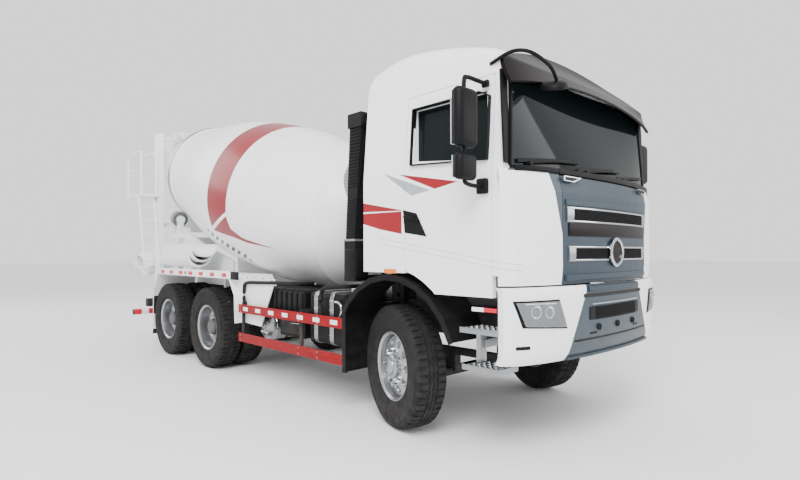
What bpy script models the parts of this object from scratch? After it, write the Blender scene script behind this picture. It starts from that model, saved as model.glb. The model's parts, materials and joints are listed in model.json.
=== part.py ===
"""A three-axle concrete mixer truck with a forward-control cab.

The truck faces -Y, +Z is up, and its right side is at -X. The origin is on the ground, under the
middle of the overall length. Distances along the truck are mostly given as the distance behind the
front axle, and along(d) turns one into a Y. Lengths are in metres.
"""

import math

import bmesh
import bpy
from mathutils import Matrix, Vector

# ---------------------------------------------------------------- driving dimensions
FRONT_OVERHANG = 1.42
WHEELBASE = 3.60
BOGIE_SPREAD = 1.35
REAR_OVERHANG = 2.22
CAB_HALF_WIDTH = 1.22
TYRE_RADIUS = 0.537
TYRE_WIDTH = 0.29
RIM_RADIUS = 0.285
TRACK_FRONT = 2.05
TRACK_REAR = 1.86
TWIN_SPACING = 0.335
STEER_AT_REST = math.radians(-17.0)
DRUM_TILT = math.radians(14.0)

RUN_GAP = 0.005      # between panels that move past each other
PIN_GAP = 0.0005     # between faces that turn on each other
SEAT_GAP = 0.0003    # between pieces that rest on each other
WHEEL_SIDES = 24

LENGTH = FRONT_OVERHANG + WHEELBASE + BOGIE_SPREAD + REAR_OVERHANG
FRONT_AXLE_Y = FRONT_OVERHANG - LENGTH / 2
WHEEL_Z = TYRE_RADIUS * math.cos(math.pi / WHEEL_SIDES)


def along(behind_front_axle):
    return FRONT_AXLE_Y + behind_front_axle


REAR_AXLES = (along(WHEELBASE), along(WHEELBASE + BOGIE_SPREAD))
BUMPER_FRONT = along(-FRONT_OVERHANG)
TAIL = along(WHEELBASE + BOGIE_SPREAD + REAR_OVERHANG)

# Chassis
RAIL_X = 0.43
RAIL_WIDTH = 0.08
RAIL_BOTTOM = 0.76
RAIL_TOP = 1.03
RAIL_WALL = 0.012

RAIL_END = 6.55
KINGPIN_X = 0.88
KNUCKLE_BOTTOM = 0.44
HUB_BORE = 0.06
TWIN_BACK = -0.12

# Cab
CAB_FRONT = along(-1.385)
CAB_BACK = along(0.34)
FLOOR_BOTTOM = 1.345
FLOOR_THICK = 0.05
WALL = 0.06
BELT = 2.12
EAVES = 2.90
ROOF_TOP = 3.26
LEAN = math.tan(math.radians(4.5))
FRONT_BOW = 0.27
SHELL_FRONT = along(-1.22)
SHELL_BOW = 0.15
SCREEN_LEAN = 0.22
ARCH_RADIUS = 0.77
ARCH_CENTRE_Z = 0.56
BUMPER_BOTTOM = 0.72
BUMPER_TOP = 1.262
SCREEN_FOOT = BELT + 0.005
SCREEN_TOP = 2.80
DOOR_THICK = 0.055
DOOR_FRONT = along(-1.065)
DOOR_BACK = along(-0.19)
DOOR_BOTTOM = 1.19
DOOR_TOP = 2.78
HATCH_HALF = 0.72
HATCH_BOTTOM = 1.275
HATCH_TOP = 2.075
HATCH_THICK = 0.04

# Drum: (distance along the axis, radius), from the head to the mouth
DRUM_START = Vector((0.0, along(1.72), 1.84))
DRUM_WALL = 0.02
DRUM_SIDES = 36
DRUM_PROFILE = ((-0.44, 0.16), (-0.36, 0.38), (-0.2, 0.62), (0.0, 0.80), (1.20, 1.045), (1.90, 1.088),
                (2.60, 1.085), (3.30, 0.995), (4.16, 0.83), (4.75, 0.73))
RING_PLACE = 4.28
RING_WIDTH = 0.11
RING_RADIUS = 0.865
ROLLER_RADIUS = 0.13
ROLLER_WIDTH = 0.12
ROLLER_SPREAD = math.radians(38.0)


# ---------------------------------------------------------------- scene and helpers
def clear_scene():
    for found in list(bpy.data.objects):
        bpy.data.objects.remove(found)


def new_collection(name):
    made = bpy.data.collections.new(name)
    bpy.context.scene.collection.children.link(made)
    return made


clear_scene()
TRUCK = new_collection("concrete_mixer_truck")
HELPERS = new_collection("cutters")


def material(name, colour, roughness, metallic=0.0, alpha=1.0):
    made = bpy.data.materials.new(name)
    made.use_nodes = True
    shader = made.node_tree.nodes["Principled BSDF"]
    shader.inputs["Base Color"].default_value = (*colour, 1.0)
    shader.inputs["Roughness"].default_value = roughness
    shader.inputs["Metallic"].default_value = metallic
    shader.inputs["Alpha"].default_value = alpha
    return made


WHITE = material("white_paint", (0.85, 0.86, 0.86), 0.3)
GREY = material("grille_paint", (0.10, 0.14, 0.18), 0.3)
BLACK = material("black_plastic", (0.02, 0.02, 0.025), 0.5)
FRAME_BLACK = material("chassis_paint", (0.03, 0.03, 0.035), 0.45)
RED = material("red_paint", (0.75, 0.03, 0.05), 0.4)
RUBBER = material("tyre", (0.02, 0.02, 0.02), 0.85)
RIM_METAL = material("rim", (0.75, 0.76, 0.78), 0.3, 1.0)
IRON = material("cast_iron", (0.12, 0.12, 0.13), 0.6, 0.6)
GLASS = material("glass", (0.03, 0.04, 0.045), 0.05, 0.0, 0.4)
LAMP = material("lamp", (0.8, 0.82, 0.85), 0.1, 0.0, 0.7)
TRIM = material("interior_trim", (0.12, 0.12, 0.13), 0.7)
SEAT_CLOTH = material("seat_cloth", (0.10, 0.10, 0.11), 0.9)
STEEL = material("steel", (0.5, 0.5, 0.5), 0.4, 0.9)


def named(obj, name, finish, collection=None):
    """Gives an object its name, its material and its place in the collections."""
    obj.name = name
    obj.data.name = name
    obj.data.materials.clear()
    obj.data.materials.append(finish)
    for holder in list(obj.users_collection):
        holder.objects.unlink(obj)
    (collection or TRUCK).objects.link(obj)
    return obj


def helper(obj, name):
    """Makes an object a cutter or a piece that a Boolean joins, which is not a part by itself."""
    named(obj, name, FRAME_BLACK, HELPERS)
    obj.hide_render = True
    obj.display_type = "WIRE"
    return obj


def box(x, y, z, bevel=0.0):
    """A box between the pairs x, y and z, with its edges rounded by bevel."""
    bpy.ops.mesh.primitive_cube_add(size=1.0)
    made = bpy.context.object
    size = Vector((abs(x[1] - x[0]), abs(y[1] - y[0]), abs(z[1] - z[0])))
    middle = Vector(((x[0] + x[1]) / 2, (y[0] + y[1]) / 2, (z[0] + z[1]) / 2))
    made.data.transform(Matrix.Diagonal((*size, 1.0)))
    made.location = middle
    if bevel:
        rounding = made.modifiers.new("edges", "BEVEL")
        rounding.width = bevel
        rounding.segments = 2
        rounding.limit_method = "ANGLE"
    return made


def cylinder(start, end, radius, sides=20, end_radius=None):
    """A cylinder, or a cone, from one point to another."""
    start, end = Vector(start), Vector(end)
    run = end - start
    mesh = bpy.data.meshes.new("cylinder")
    shape = bmesh.new()
    bmesh.ops.create_cone(
        shape, cap_ends=True, cap_tris=False, segments=sides, radius1=radius,
        radius2=radius if end_radius is None else end_radius, depth=run.length,
    )
    shape.to_mesh(mesh)
    shape.free()
    made = bpy.data.objects.new("cylinder", mesh)
    bpy.context.scene.collection.objects.link(made)
    made.rotation_mode = "QUATERNION"
    made.rotation_quaternion = run.to_track_quat("Z", "Y")
    made.location = (start + end) / 2
    return made


def as_mesh(curve_object):
    """The mesh of a curve object, with its caps welded, in place of the curve."""
    bpy.context.view_layer.update()
    graph = bpy.context.evaluated_depsgraph_get()
    mesh = bpy.data.meshes.new_from_object(curve_object.evaluated_get(graph))
    shape = bmesh.new()
    shape.from_mesh(mesh)
    bmesh.ops.remove_doubles(shape, verts=shape.verts, dist=0.00005)
    bmesh.ops.recalc_face_normals(shape, faces=shape.faces)
    shape.to_mesh(mesh)
    shape.free()
    made = bpy.data.objects.new(curve_object.name, mesh)
    bpy.context.scene.collection.objects.link(made)
    made.matrix_world = curve_object.matrix_world
    bpy.data.objects.remove(curve_object)
    return made


def rounded(points, radius, steps=3):
    """The points of a line whose inner corners are replaced by arcs of about the given radius."""
    points = [Vector(p) for p in points]
    line = [points[0]]
    for before, corner, after in zip(points, points[1:], points[2:]):
        reach = min(radius, (before - corner).length / 2.05, (after - corner).length / 2.05)
        start = corner + (before - corner).normalized() * reach
        end = corner + (after - corner).normalized() * reach
        for i in range(steps + 1):
            t = i / steps
            line.append(start * (1 - t) ** 2 + corner * 2 * t * (1 - t) + end * t ** 2)
    line.append(points[-1])
    return line


def tube(points, radius, resolution=1):
    """A round bar or pipe along a line of points."""
    curve = bpy.data.curves.new("tube", "CURVE")
    curve.dimensions = "3D"
    curve.bevel_depth = radius
    curve.bevel_resolution = resolution
    curve.use_fill_caps = True
    spline = curve.splines.new("POLY")
    spline.points.add(len(points) - 1)
    for place, point in zip(spline.points, points):
        place.co = (*point, 1.0)
    made = bpy.data.objects.new("tube", curve)
    bpy.context.scene.collection.objects.link(made)
    return as_mesh(made)


def plate(outline, thickness, axis="X", at=0.0):
    """A flat plate. The outline's two numbers are (Y, Z) for axis X, (X, Z) for axis Y and (X, Y) for
    axis Z, and the plate reaches from at to at + thickness along that axis."""
    curve = bpy.data.curves.new("plate", "CURVE")
    curve.dimensions = "2D"
    curve.fill_mode = "BOTH"
    curve.extrude = abs(thickness) / 2
    spline = curve.splines.new("POLY")
    spline.points.add(len(outline) - 1)
    for place, (u, v) in zip(spline.points, outline):
        place.co = (u, v, 0.0, 1.0)
    spline.use_cyclic_u = True
    made = bpy.data.objects.new("plate", curve)
    bpy.context.scene.collection.objects.link(made)
    turns = {
        "X": Matrix(((0, 0, 1, 0), (1, 0, 0, 0), (0, 1, 0, 0), (0, 0, 0, 1))),
        "Y": Matrix(((1, 0, 0, 0), (0, 0, -1, 0), (0, 1, 0, 0), (0, 0, 0, 1))),
        "Z": Matrix.Identity(4),
    }
    middle = at + thickness / 2
    made = as_mesh(made)
    made.data.transform(turns[axis])
    made.location = {"X": (middle, 0, 0), "Y": (0, middle, 0), "Z": (0, 0, middle)}[axis]
    return made


def arc(centre, radius, first, last, steps):
    """Points (u, v) on an arc, with its angles in degrees."""
    turn = [math.radians(first + (last - first) * i / steps) for i in range(steps + 1)]
    return [(centre[0] + radius * math.cos(a), centre[1] + radius * math.sin(a)) for a in turn]


def turned(profile, start, direction, sides=WHEEL_SIDES, closed=True, phase=0.5):
    """A solid of revolution. The profile's points are (radius, distance along the direction), and a
    phase of 0.5 puts a flat side, not a corner, at the lowest line."""
    mesh = bpy.data.meshes.new("turned")
    shape = bmesh.new()
    verts = [shape.verts.new((r, 0.0, s)) for r, s in profile]
    pairs = list(zip(verts, verts[1:])) + ([(verts[-1], verts[0])] if closed else [])
    for a, b in pairs:
        shape.edges.new((a, b))
    shape.to_mesh(mesh)
    shape.free()
    made = bpy.data.objects.new("turned", mesh)
    bpy.context.scene.collection.objects.link(made)
    spin = made.modifiers.new("turn", "SCREW")
    spin.steps = spin.render_steps = sides
    spin.use_merge_vertices = True
    spin.merge_threshold = 0.00005
    spin.use_normal_calculate = True
    axis = Vector(direction).normalized()
    side = axis.cross(Vector((0, 0, 1)))
    side = side.normalized() if side.length > 0.01 else Vector((1, 0, 0))
    up = side.cross(axis)
    frame = Matrix((-up, axis.cross(-up), axis)).transposed().to_4x4()
    made.matrix_world = (
        Matrix.Translation(start) @ frame @ Matrix.Rotation(phase * math.tau / sides, 4, "Z")
    )
    return made


def applied(obj):
    """The object with its modifiers and its place worked into its mesh."""
    bpy.context.view_layer.update()
    graph = bpy.context.evaluated_depsgraph_get()
    mesh = bpy.data.meshes.new_from_object(obj.evaluated_get(graph))
    mesh.transform(obj.matrix_world)
    made = bpy.data.objects.new(obj.name, mesh)
    bpy.context.scene.collection.objects.link(made)
    bpy.data.objects.remove(obj)
    return made


def outward(obj):
    """The object with its faces recalculated to point out."""
    shape = bmesh.new()
    shape.from_mesh(obj.data)
    bmesh.ops.recalc_face_normals(shape, faces=shape.faces)
    if shape.calc_volume(signed=True) < 0:
        bmesh.ops.reverse_faces(shape, faces=shape.faces)
    shape.to_mesh(obj.data)
    shape.free()
    return obj


def combine(base, others, operation="UNION"):
    """Joins, or cuts, base with the other shapes through Boolean modifiers."""
    for other in others:
        helper(other, "helper")
        change = base.modifiers.new(operation.lower(), "BOOLEAN")
        change.operation = operation
        change.solver = "EXACT"
        change.object = other
    return base


def mirrored(obj, name, finish):
    """A copy of a finished part on the other side of the truck, as its own object."""
    bpy.context.view_layer.update()
    graph = bpy.context.evaluated_depsgraph_get()
    mesh = bpy.data.meshes.new_from_object(obj.evaluated_get(graph))
    mesh.transform(Matrix.Diagonal((-1, 1, 1, 1)) @ obj.matrix_world)
    shape = bmesh.new()
    shape.from_mesh(mesh)
    bmesh.ops.reverse_faces(shape, faces=shape.faces)
    shape.to_mesh(mesh)
    shape.free()
    made = bpy.data.objects.new(name, mesh)
    bpy.context.scene.collection.objects.link(made)
    return named(made, name, finish)


def shifted(name, back):
    """A slightly wider copy of a finished part, moved along Y, to cut what rests against it."""
    obj = bpy.data.objects[name]
    bpy.context.view_layer.update()
    graph = bpy.context.evaluated_depsgraph_get()
    mesh = bpy.data.meshes.new_from_object(obj.evaluated_get(graph))
    mesh.transform(Matrix.Translation((0, back, 0)) @ Matrix.Diagonal((1.001, 1, 1, 1)) @ obj.matrix_world)
    made = bpy.data.objects.new("helper", mesh)
    bpy.context.scene.collection.objects.link(made)
    return made


def both_sides(obj, stem, finish):
    """Names the right-hand part and makes its left-hand copy."""
    right = named(obj, stem + "_right", finish)
    return right, mirrored(right, stem + "_left", finish)


def spaced(low, high, count):
    return [low + (high - low) * i / count for i in range(count + 1)]


def front_line(x):
    """The outer front of the lid, the corner panels and the bumper in plan: half an ellipse."""
    share = min(abs(x) / (CAB_HALF_WIDTH + 0.002), 1.0)
    return CAB_FRONT + FRONT_BOW * (1 - math.sqrt(1 - share * share))


def half_width(z):
    """Half the cab's width at a height: upright to the belt, then leaning in."""
    return CAB_HALF_WIDTH - max(0.0, z - BELT) * LEAN


def shell_front(x, z):
    """The front of the cab shell, which also is the back of the windscreen."""
    bow = SHELL_BOW * (1 - math.sqrt(1 - (min(abs(x), 1.22) / 1.27) ** 2))
    lean = SCREEN_LEAN * max(0.0, z - BELT) * (1 - (x / 1.27) ** 2)
    return SHELL_FRONT + bow + lean


def slab(front, back, name="slab"):
    """A closed body between two grids of points, each a list of rows."""
    mesh = bpy.data.meshes.new(name)
    shape = bmesh.new()
    grids = [[[shape.verts.new(p) for p in row] for row in grid] for grid in (front, back)]
    rows, cols = len(front), len(front[0])
    for grid, turn in zip(grids, (1, -1)):
        for low, high in zip(grid, grid[1:]):
            for i in range(cols - 1):
                shape.faces.new((low[i], low[i + 1], high[i + 1], high[i])[::turn])
    rim = [(0, i) for i in range(cols)] + [(j, cols - 1) for j in range(1, rows)]
    rim += [(rows - 1, i) for i in range(cols - 2, -1, -1)] + [(j, 0) for j in range(rows - 2, 0, -1)]
    for (j, i), (m, n) in zip(rim, rim[1:] + rim[:1]):
        shape.faces.new((grids[0][m][n], grids[0][j][i], grids[1][j][i], grids[1][m][n]))
    bmesh.ops.triangulate(shape, faces=shape.faces)
    bmesh.ops.recalc_face_normals(shape, faces=shape.faces)
    shape.to_mesh(mesh)
    shape.free()
    made = bpy.data.objects.new(name, mesh)
    bpy.context.scene.collection.objects.link(made)
    return outward(made)


def loft(rows):
    """A closed body through closed outlines that have the same number of points."""
    mesh = bpy.data.meshes.new("loft")
    shape = bmesh.new()
    rings = [[shape.verts.new(p) for p in row] for row in rows]
    for low, high in zip(rings, rings[1:]):
        for i in range(len(low)):
            j = (i + 1) % len(low)
            shape.faces.new((low[i], low[j], high[j], high[i]))
    shape.faces.new(rings[0][::-1])
    shape.faces.new(rings[-1])
    bmesh.ops.triangulate(shape, faces=shape.faces)
    bmesh.ops.recalc_face_normals(shape, faces=shape.faces)
    shape.to_mesh(mesh)
    shape.free()
    made = bpy.data.objects.new("loft", mesh)
    bpy.context.scene.collection.objects.link(made)
    return outward(made)


def band(line, thickness, x):
    """A sheet bent along a line of (y, z) points and as wide as the pair x, thick to its left."""
    points = [Vector((0, *p)) for p in line]
    inner = []
    for i, p in enumerate(points):
        legs = [points[i] - points[i - 1]] if i else []
        legs += [points[i + 1] - points[i]] if i + 1 < len(points) else []
        normals = [Vector((0, -leg.z, leg.y)).normalized() for leg in legs]
        mean = sum(normals, Vector()).normalized()
        inner.append(p + mean * (thickness / max(mean.dot(normals[0]), 0.3)))
    return plate([(p.y, p.z) for p in points] + [(p.y, p.z) for p in inner[::-1]],
                 x[1] - x[0], "X", x[0])


# ---------------------------------------------------------------- chassis
def make_frame():
    ends = (along(-0.95), along(RAIL_END))
    rails = []
    for side in (-1, 1):
        web = box((side * (RAIL_X + RAIL_WIDTH / 2), side * (RAIL_X - RAIL_WIDTH / 2)), ends,
                  (RAIL_BOTTOM, RAIL_TOP))
        hollow = box((side * (RAIL_X + RAIL_WIDTH / 2 - RAIL_WALL), side * (RAIL_X - RAIL_WIDTH)),
                     (ends[0] - 0.1, ends[1] + 0.1), (RAIL_BOTTOM + RAIL_WALL, RAIL_TOP - RAIL_WALL))
        rails.append(combine(web, [hollow], "DIFFERENCE"))
    places = (-0.90, 0.98, 1.75, 2.55, WHEELBASE - 0.3, WHEELBASE + BOGIE_SPREAD / 2,
              WHEELBASE + BOGIE_SPREAD + 0.3, RAIL_END - 0.06)
    width = RAIL_X + RAIL_WIDTH / 2 - RAIL_WALL / 2
    members = [box((-width, width), (along(p) - 0.05, along(p) + 0.05),
                   (RAIL_BOTTOM + 0.03, RAIL_TOP - 0.03)) for p in places]
    mounts = [box((side * (RAIL_X - 0.035), side * (RAIL_X + 0.035)), (along(-0.94), along(-0.80)),
                  (RAIL_TOP - 0.05, FLOOR_BOTTOM - SEAT_GAP)) for side in (-1, 1)]
    mounts += [box((side * (RAIL_X - 0.035), side * (RAIL_X + 0.035)), (along(0.60), along(0.67)),
                   (RAIL_TOP - 0.05, 1.25)) for side in (-1, 1)]
    frame = combine(rails[0], members + [rails[1]] + mounts)
    return named(frame, "chassis_frame", FRAME_BLACK)


def make_engine():
    """The engine and gearbox as one plain block between the rails, under the cab floor."""
    inside = RAIL_X - RAIL_WIDTH / 2 - 0.03
    block = box((-inside, inside), (along(-0.75), along(0.55)), (0.72, FLOOR_BOTTOM - 0.04), 0.03)
    feet = box((-RAIL_X + RAIL_WIDTH / 2 + SEAT_GAP, RAIL_X - RAIL_WIDTH / 2 - SEAT_GAP),
               (along(-0.30), along(-0.18)), (RAIL_BOTTOM + 0.002, RAIL_BOTTOM + RAIL_WALL - 0.002))
    return named(combine(block, [feet]), "engine_block", IRON)


def make_front_axle():
    beam = box((-KINGPIN_X - 0.06, KINGPIN_X + 0.06), (along(-0.05), along(0.05)),
               (KNUCKLE_BOTTOM - 0.07, KNUCKLE_BOTTOM), 0.01)
    more = []
    for side in (-1, 1):
        x = (side * (RAIL_X - 0.04), side * (RAIL_X + 0.04))
        more.append(box(x, (along(-0.72), along(0.80)), (0.565, 0.625)))
        more.append(box(x, (along(-0.08), along(0.08)), (KNUCKLE_BOTTOM - 0.03, 0.57)))
        for place in (-0.68, 0.76):
            more.append(box(x, (along(place) - 0.035, along(place) + 0.035),
                            (0.60, RAIL_BOTTOM - SEAT_GAP)))
    return named(combine(beam, more), "front_axle", FRAME_BLACK)


def make_rear_bogie():
    """The two driven axles on their shared springs."""
    parts = []
    end = TRACK_REAR / 2 + TWIN_BACK - PIN_GAP
    for y in REAR_AXLES:
        parts.append(cylinder((-end, y, WHEEL_Z), (end, y, WHEEL_Z), 0.085, 16))
        parts.append(cylinder((-end - 0.16, y, WHEEL_Z), (end + 0.16, y, WHEEL_Z),
                              HUB_BORE - 0.004, 16))
        parts.append(turned([(0.0, -0.17), (0.13, -0.14), (0.22, -0.05), (0.22, 0.05), (0.13, 0.14),
                             (0.0, 0.17)], (0, y, WHEEL_Z), (0, 1, 0), 16, closed=False))
        parts.append(cylinder((0, y - 0.17, WHEEL_Z), (0, y + 0.17, WHEEL_Z), 0.06, 12))
    for side in (-1, 1):
        x = (side * (RAIL_X - 0.04), side * (RAIL_X + 0.04))
        parts.append(box(x, (REAR_AXLES[0] - 0.12, REAR_AXLES[1] + 0.12), (0.585, 0.655)))
        middle = sum(REAR_AXLES) / 2
        parts.append(box(x, (middle - 0.11, middle + 0.11), (0.62, RAIL_BOTTOM - SEAT_GAP)))
    return named(combine(parts[0], parts[1:]), "rear_bogie", FRAME_BLACK)


def make_drive_shaft():
    """The shaft from the gearbox back to the first driven axle, and the one between the two axles."""
    front = (0, along(0.55) + SEAT_GAP, 0.74)
    rear = (0, REAR_AXLES[0] - 0.17 - SEAT_GAP, WHEEL_Z)
    shaft = cylinder((0, along(0.56), 0.74), (0, REAR_AXLES[0] - 0.19, WHEEL_Z), 0.04, 12)
    collar = cylinder((0, REAR_AXLES[0] - 0.25, WHEEL_Z), rear, 0.055, 12)
    face = cylinder(front, (0, along(0.60), 0.74), 0.055, 12)
    return named(combine(shaft, [collar, face]), "drive_shaft", STEEL)


# ---------------------------------------------------------------- wheels
TYRE_SIDE = TYRE_WIDTH / 2


def tyre_outline(centre):
    """Half a tyre's outline, from its outer bead over the tread to its inner bead."""
    return [(RIM_RADIUS, centre + 0.118), (0.43, centre + TYRE_SIDE), (TYRE_RADIUS, centre + 0.10),
            (TYRE_RADIUS, centre - 0.10), (0.43, centre - TYRE_SIDE), (RIM_RADIUS, centre - 0.118)]


def make_front_wheels():
    profile = tyre_outline(0.0) + [(0.25, -0.118), (0.25, 0.02), (HUB_BORE, 0.00), (HUB_BORE, 0.15),
                                   (0.10, 0.15), (0.11, 0.075), (0.20, 0.07), (0.255, 0.118)]
    for side, stem in ((-1, "right"), (1, "left")):
        turn = Matrix.Rotation(STEER_AT_REST, 3, "Z")
        pin = Vector((side * KINGPIN_X, along(0), 0))
        out = turn @ Vector((side, 0, 0))
        centre = pin + out * (TRACK_FRONT / 2 - KINGPIN_X) + Vector((0, 0, WHEEL_Z))
        wheel = turned(profile, centre, out)
        named(outward(applied(wheel)), "wheel_front_" + stem, RUBBER)
        face = centre - out * PIN_GAP
        knuckle = cylinder((*pin.xy, KNUCKLE_BOTTOM + PIN_GAP), (*pin.xy, 0.64), 0.055, 14)
        arm = cylinder(Vector((*pin.xy, WHEEL_Z)), centre + out * 0.13, HUB_BORE - 0.004, 14)
        flange = cylinder(Vector((*pin.xy, WHEEL_Z)) + out * 0.06, face, 0.085, 14)
        named(outward(applied(combine(knuckle, [arm, flange]))), "knuckle_" + stem, IRON)


def make_rear_wheels():
    inner, outer = -TWIN_SPACING / 2, TWIN_SPACING / 2
    profile = tyre_outline(outer) + [(RIM_RADIUS - 0.005, 0.0)] + tyre_outline(inner) + [
        (0.25, inner - 0.118), (0.25, TWIN_BACK + 0.05), (HUB_BORE, TWIN_BACK), (HUB_BORE, 0.20),
        (0.11, 0.20), (0.12, 0.06), (0.20, 0.045), (0.245, 0.06), (0.255, outer + 0.118)]
    for side, stem in ((-1, "right"), (1, "left")):
        for y, place in zip(REAR_AXLES, ("middle", "rear")):
            wheel = turned(profile, (side * TRACK_REAR / 2, y, WHEEL_Z), (side, 0, 0))
            named(outward(applied(wheel)), f"wheels_{place}_{stem}", RUBBER)


# ---------------------------------------------------------------- front of the chassis
def make_bumper():
    xs = spaced(-1.218, 1.218, 14)
    rows = []
    for z, shift in ((BUMPER_BOTTOM, 0.03), (0.80, 0.0), (1.20, 0.0), (BUMPER_TOP, 0.02)):
        rows.append([(x, front_line(x) - 0.033 + shift, z) for x in xs])
    back = [[(x * 0.985, y + 0.055, z) for x, y, z in row] for row in rows]
    arms = [box((side * (RAIL_X - 0.035), side * (RAIL_X + 0.035)), (along(-1.37), along(-0.95) - SEAT_GAP),
                (0.84, 0.96)) for side in (-1, 1)]
    return named(combine(slab(rows, back), arms), "front_bumper", WHITE)


def make_steps():
    low = box((-0.98, -1.22), (along(-1.12), along(-0.79)), (0.655, 0.685), 0.006)
    parts = [box((-0.98, -1.22), (along(-1.10), along(-0.77)), (0.920, 0.955), 0.006)]
    for place in (-1.05, -0.85):
        parts.append(box((-1.03, -1.10), (along(place) - 0.02, along(place) + 0.02), (0.67, 0.94)))
    parts.append(box((-RAIL_X - RAIL_WIDTH / 2 - SEAT_GAP, -1.06), (along(-0.88), along(-0.82)),
                     (0.80, 0.86)))
    both_sides(combine(low, parts), "step", STEEL)


def make_front_fenders():
    centre = (along(0.02), ARCH_CENTRE_Z)
    line = [(along(0.66), 0.40), (along(0.66), 0.98)]
    line += arc(centre, ARCH_RADIUS, 42, 159, 8)
    sheet = band([(y, z) for y, z in line], 0.012, (-1.22, -0.80))
    lip = band([(y, z) for y, z in line], 0.05, (-1.22, -1.195))
    arm = box((-RAIL_X - RAIL_WIDTH / 2 - SEAT_GAP, -0.85), (along(0.62), along(0.70)), (0.96, 1.02))
    both_sides(combine(sheet, [lip, arm]), "front_fender", BLACK)


# ---------------------------------------------------------------- cab
FRONT_XS = [-1.0, -0.91] + spaced(-0.8, 0.8, 8) + [0.91, 1.0]


def cab_outline(z, inset=0.0, back=None, front_in=0.0):
    """The cab's plan at a height, set in by inset."""
    w = half_width(z) - inset
    rear = (CAB_BACK if back is None else back) - inset
    line = [(s * w, shell_front(s * w, z) + inset + front_in, z) for s in FRONT_XS]
    return line + [(w, rear, z), (0.0, rear, z), (-w, rear, z)]


def side_slab(y, z, depth, side, grow=0.0, out=0.0):
    """A slab in the cab's side, between the pairs y and z, as deep as stated from the outer face."""
    heights = [z[0] - grow, BELT, z[1] + grow] if z[0] < BELT < z[1] else [z[0] - grow, z[1] + grow]
    ends = (y[0] - grow, y[1] + grow)
    outer = [[(side * (half_width(h) + out), e, h) for e in ends] for h in heights]
    inner = [[(side * (half_width(h) - depth), e, h) for e in ends] for h in heights]
    return slab(outer, inner)


def window_cutter(side, grow=0.0):
    """The door's window opening, tapered to the front."""
    low = [(along(-1.03) - grow, 2.17 - grow), (along(-0.29) + grow, 2.245 - grow)]
    high = [(along(-1.00) - grow, 2.67 + grow), (along(-0.255) + grow, 2.67 + grow)]
    outer = [[(side * 1.30, y, z) for y, z in low], [(side * 1.30, y, z) for y, z in high]]
    inner = [[(side * 1.00, y, z) for y, z in low], [(side * 1.00, y, z) for y, z in high]]
    return slab(outer, inner)


def make_cab_shell():
    outer = loft([cab_outline(z) for z in (FLOOR_BOTTOM, BELT, EAVES)])
    inner = loft([cab_outline(z, WALL) for z in (FLOOR_BOTTOM + FLOOR_THICK, BELT, EAVES + 0.02)])
    screen = box((-1.07, 1.07), (along(-1.6), along(-0.60)), (SCREEN_FOOT + 0.03, SCREEN_TOP - 0.03))
    cuts = [inner, screen]
    for side in (-1, 1):
        cuts.append(side_slab((DOOR_FRONT, DOOR_BACK), (DOOR_BOTTOM - 0.1, DOOR_TOP), DOOR_THICK, side,
                              RUN_GAP, 0.1))
        cuts.append(side_slab((DOOR_FRONT + 0.012, DOOR_BACK - 0.05), (1.42, DOOR_TOP - 0.05), 0.2, side,
                              0.0, -0.02))
    shell = combine(outer, cuts, "DIFFERENCE")
    return named(shell, "cab_shell", WHITE)


def make_cab_roof():
    low = EAVES + SEAT_GAP
    levels = ((low, 0.0, 0.0), (3.06, 0.035, 0.07), (3.19, 0.14, 0.09), (ROOF_TOP, 0.42, 0.10))
    rows = []
    inner = []
    for z, inset, front in levels:
        rows.append([(x, y, z) for x, y, _ in cab_outline(low, inset, None, front)])
    for (z, inset, front), depth in zip(levels, (-0.05, 0.03, 0.04, 0.05)):
        inner.append([(x, y, z - max(depth, 0) - (0.05 if depth < 0 else 0))
                      for x, y, _ in cab_outline(low, inset + 0.05, None, front)])
    return named(combine(loft(rows), [loft(inner)], "DIFFERENCE"), "cab_roof", WHITE)


def make_visor():
    """The dark sun visor: it lies on the roof along its top and stands off the screen at its foot."""
    front, back = [], []
    low = EAVES + SEAT_GAP
    for v in (0.0, 0.35, 0.7, 1.0):
        f, b = [], []
        for u in spaced(-1.0, 1.0, 12):
            x = 1.17 * u
            z = (2.80 - 0.10 * u * u) * (1 - v) + (3.15 - 0.26 * u * u) * v
            rise = max(0.0, z - low)
            y = shell_front(x, min(z, low)) + (0.07 + 0.035) * min(rise / 0.16, 1.0) + 0.45 * max(
                0.0, rise - 0.16)
            y += -0.010 - 0.16 * (1 - v) ** 1.6 * (1 - 0.6 * u * u)
            b.append((x, y + 0.012, z))
            f.append((x, y - 0.018, z))
        front.append(f)
        back.append(b)
    return slab(front, back)


def make_windscreen():
    front, back = [], []
    foot, head = cab_outline(BELT), cab_outline(EAVES)
    for z in (SCREEN_FOOT, SCREEN_TOP):
        t = (z - BELT) / (EAVES - BELT)
        line = [Vector(a).lerp(Vector(b), t) for a, b in zip(foot, head)][1:len(FRONT_XS) - 1]
        back.append([p - Vector((0, 0.0004, 0)) for p in line])
        front.append([p - Vector((0, 0.012, 0)) for p in line])
    return slab(front, back)


def make_front_hatch():
    """The lid over the front of the cab, which opens upwards."""
    xs = spaced(-HATCH_HALF, HATCH_HALF, 8)
    rows = [[(x, front_line(x) + shift, z) for x in xs]
            for z, shift in ((HATCH_BOTTOM, 0.012), (1.40, 0.0), (1.95, 0.004), (HATCH_TOP, 0.03))]
    back = [[(x, y + HATCH_THICK, z) for x, y, z in row] for row in rows]
    arms = [box((x - 0.03, x + 0.03), (along(-1.34), SHELL_FRONT - PIN_GAP - 0.02), (1.98, 2.03))
            for x in (-0.5, 0.5)]
    pads = [box((x - 0.03, x + 0.03), (SHELL_FRONT - 0.03, shell_front(0.47, 2.0) - PIN_GAP + 0.0004),
                (1.98, 2.03)) for x in (-0.5, 0.5)]
    return named(combine(slab(rows, back), arms + pads), "front_hatch", GREY)


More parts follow.
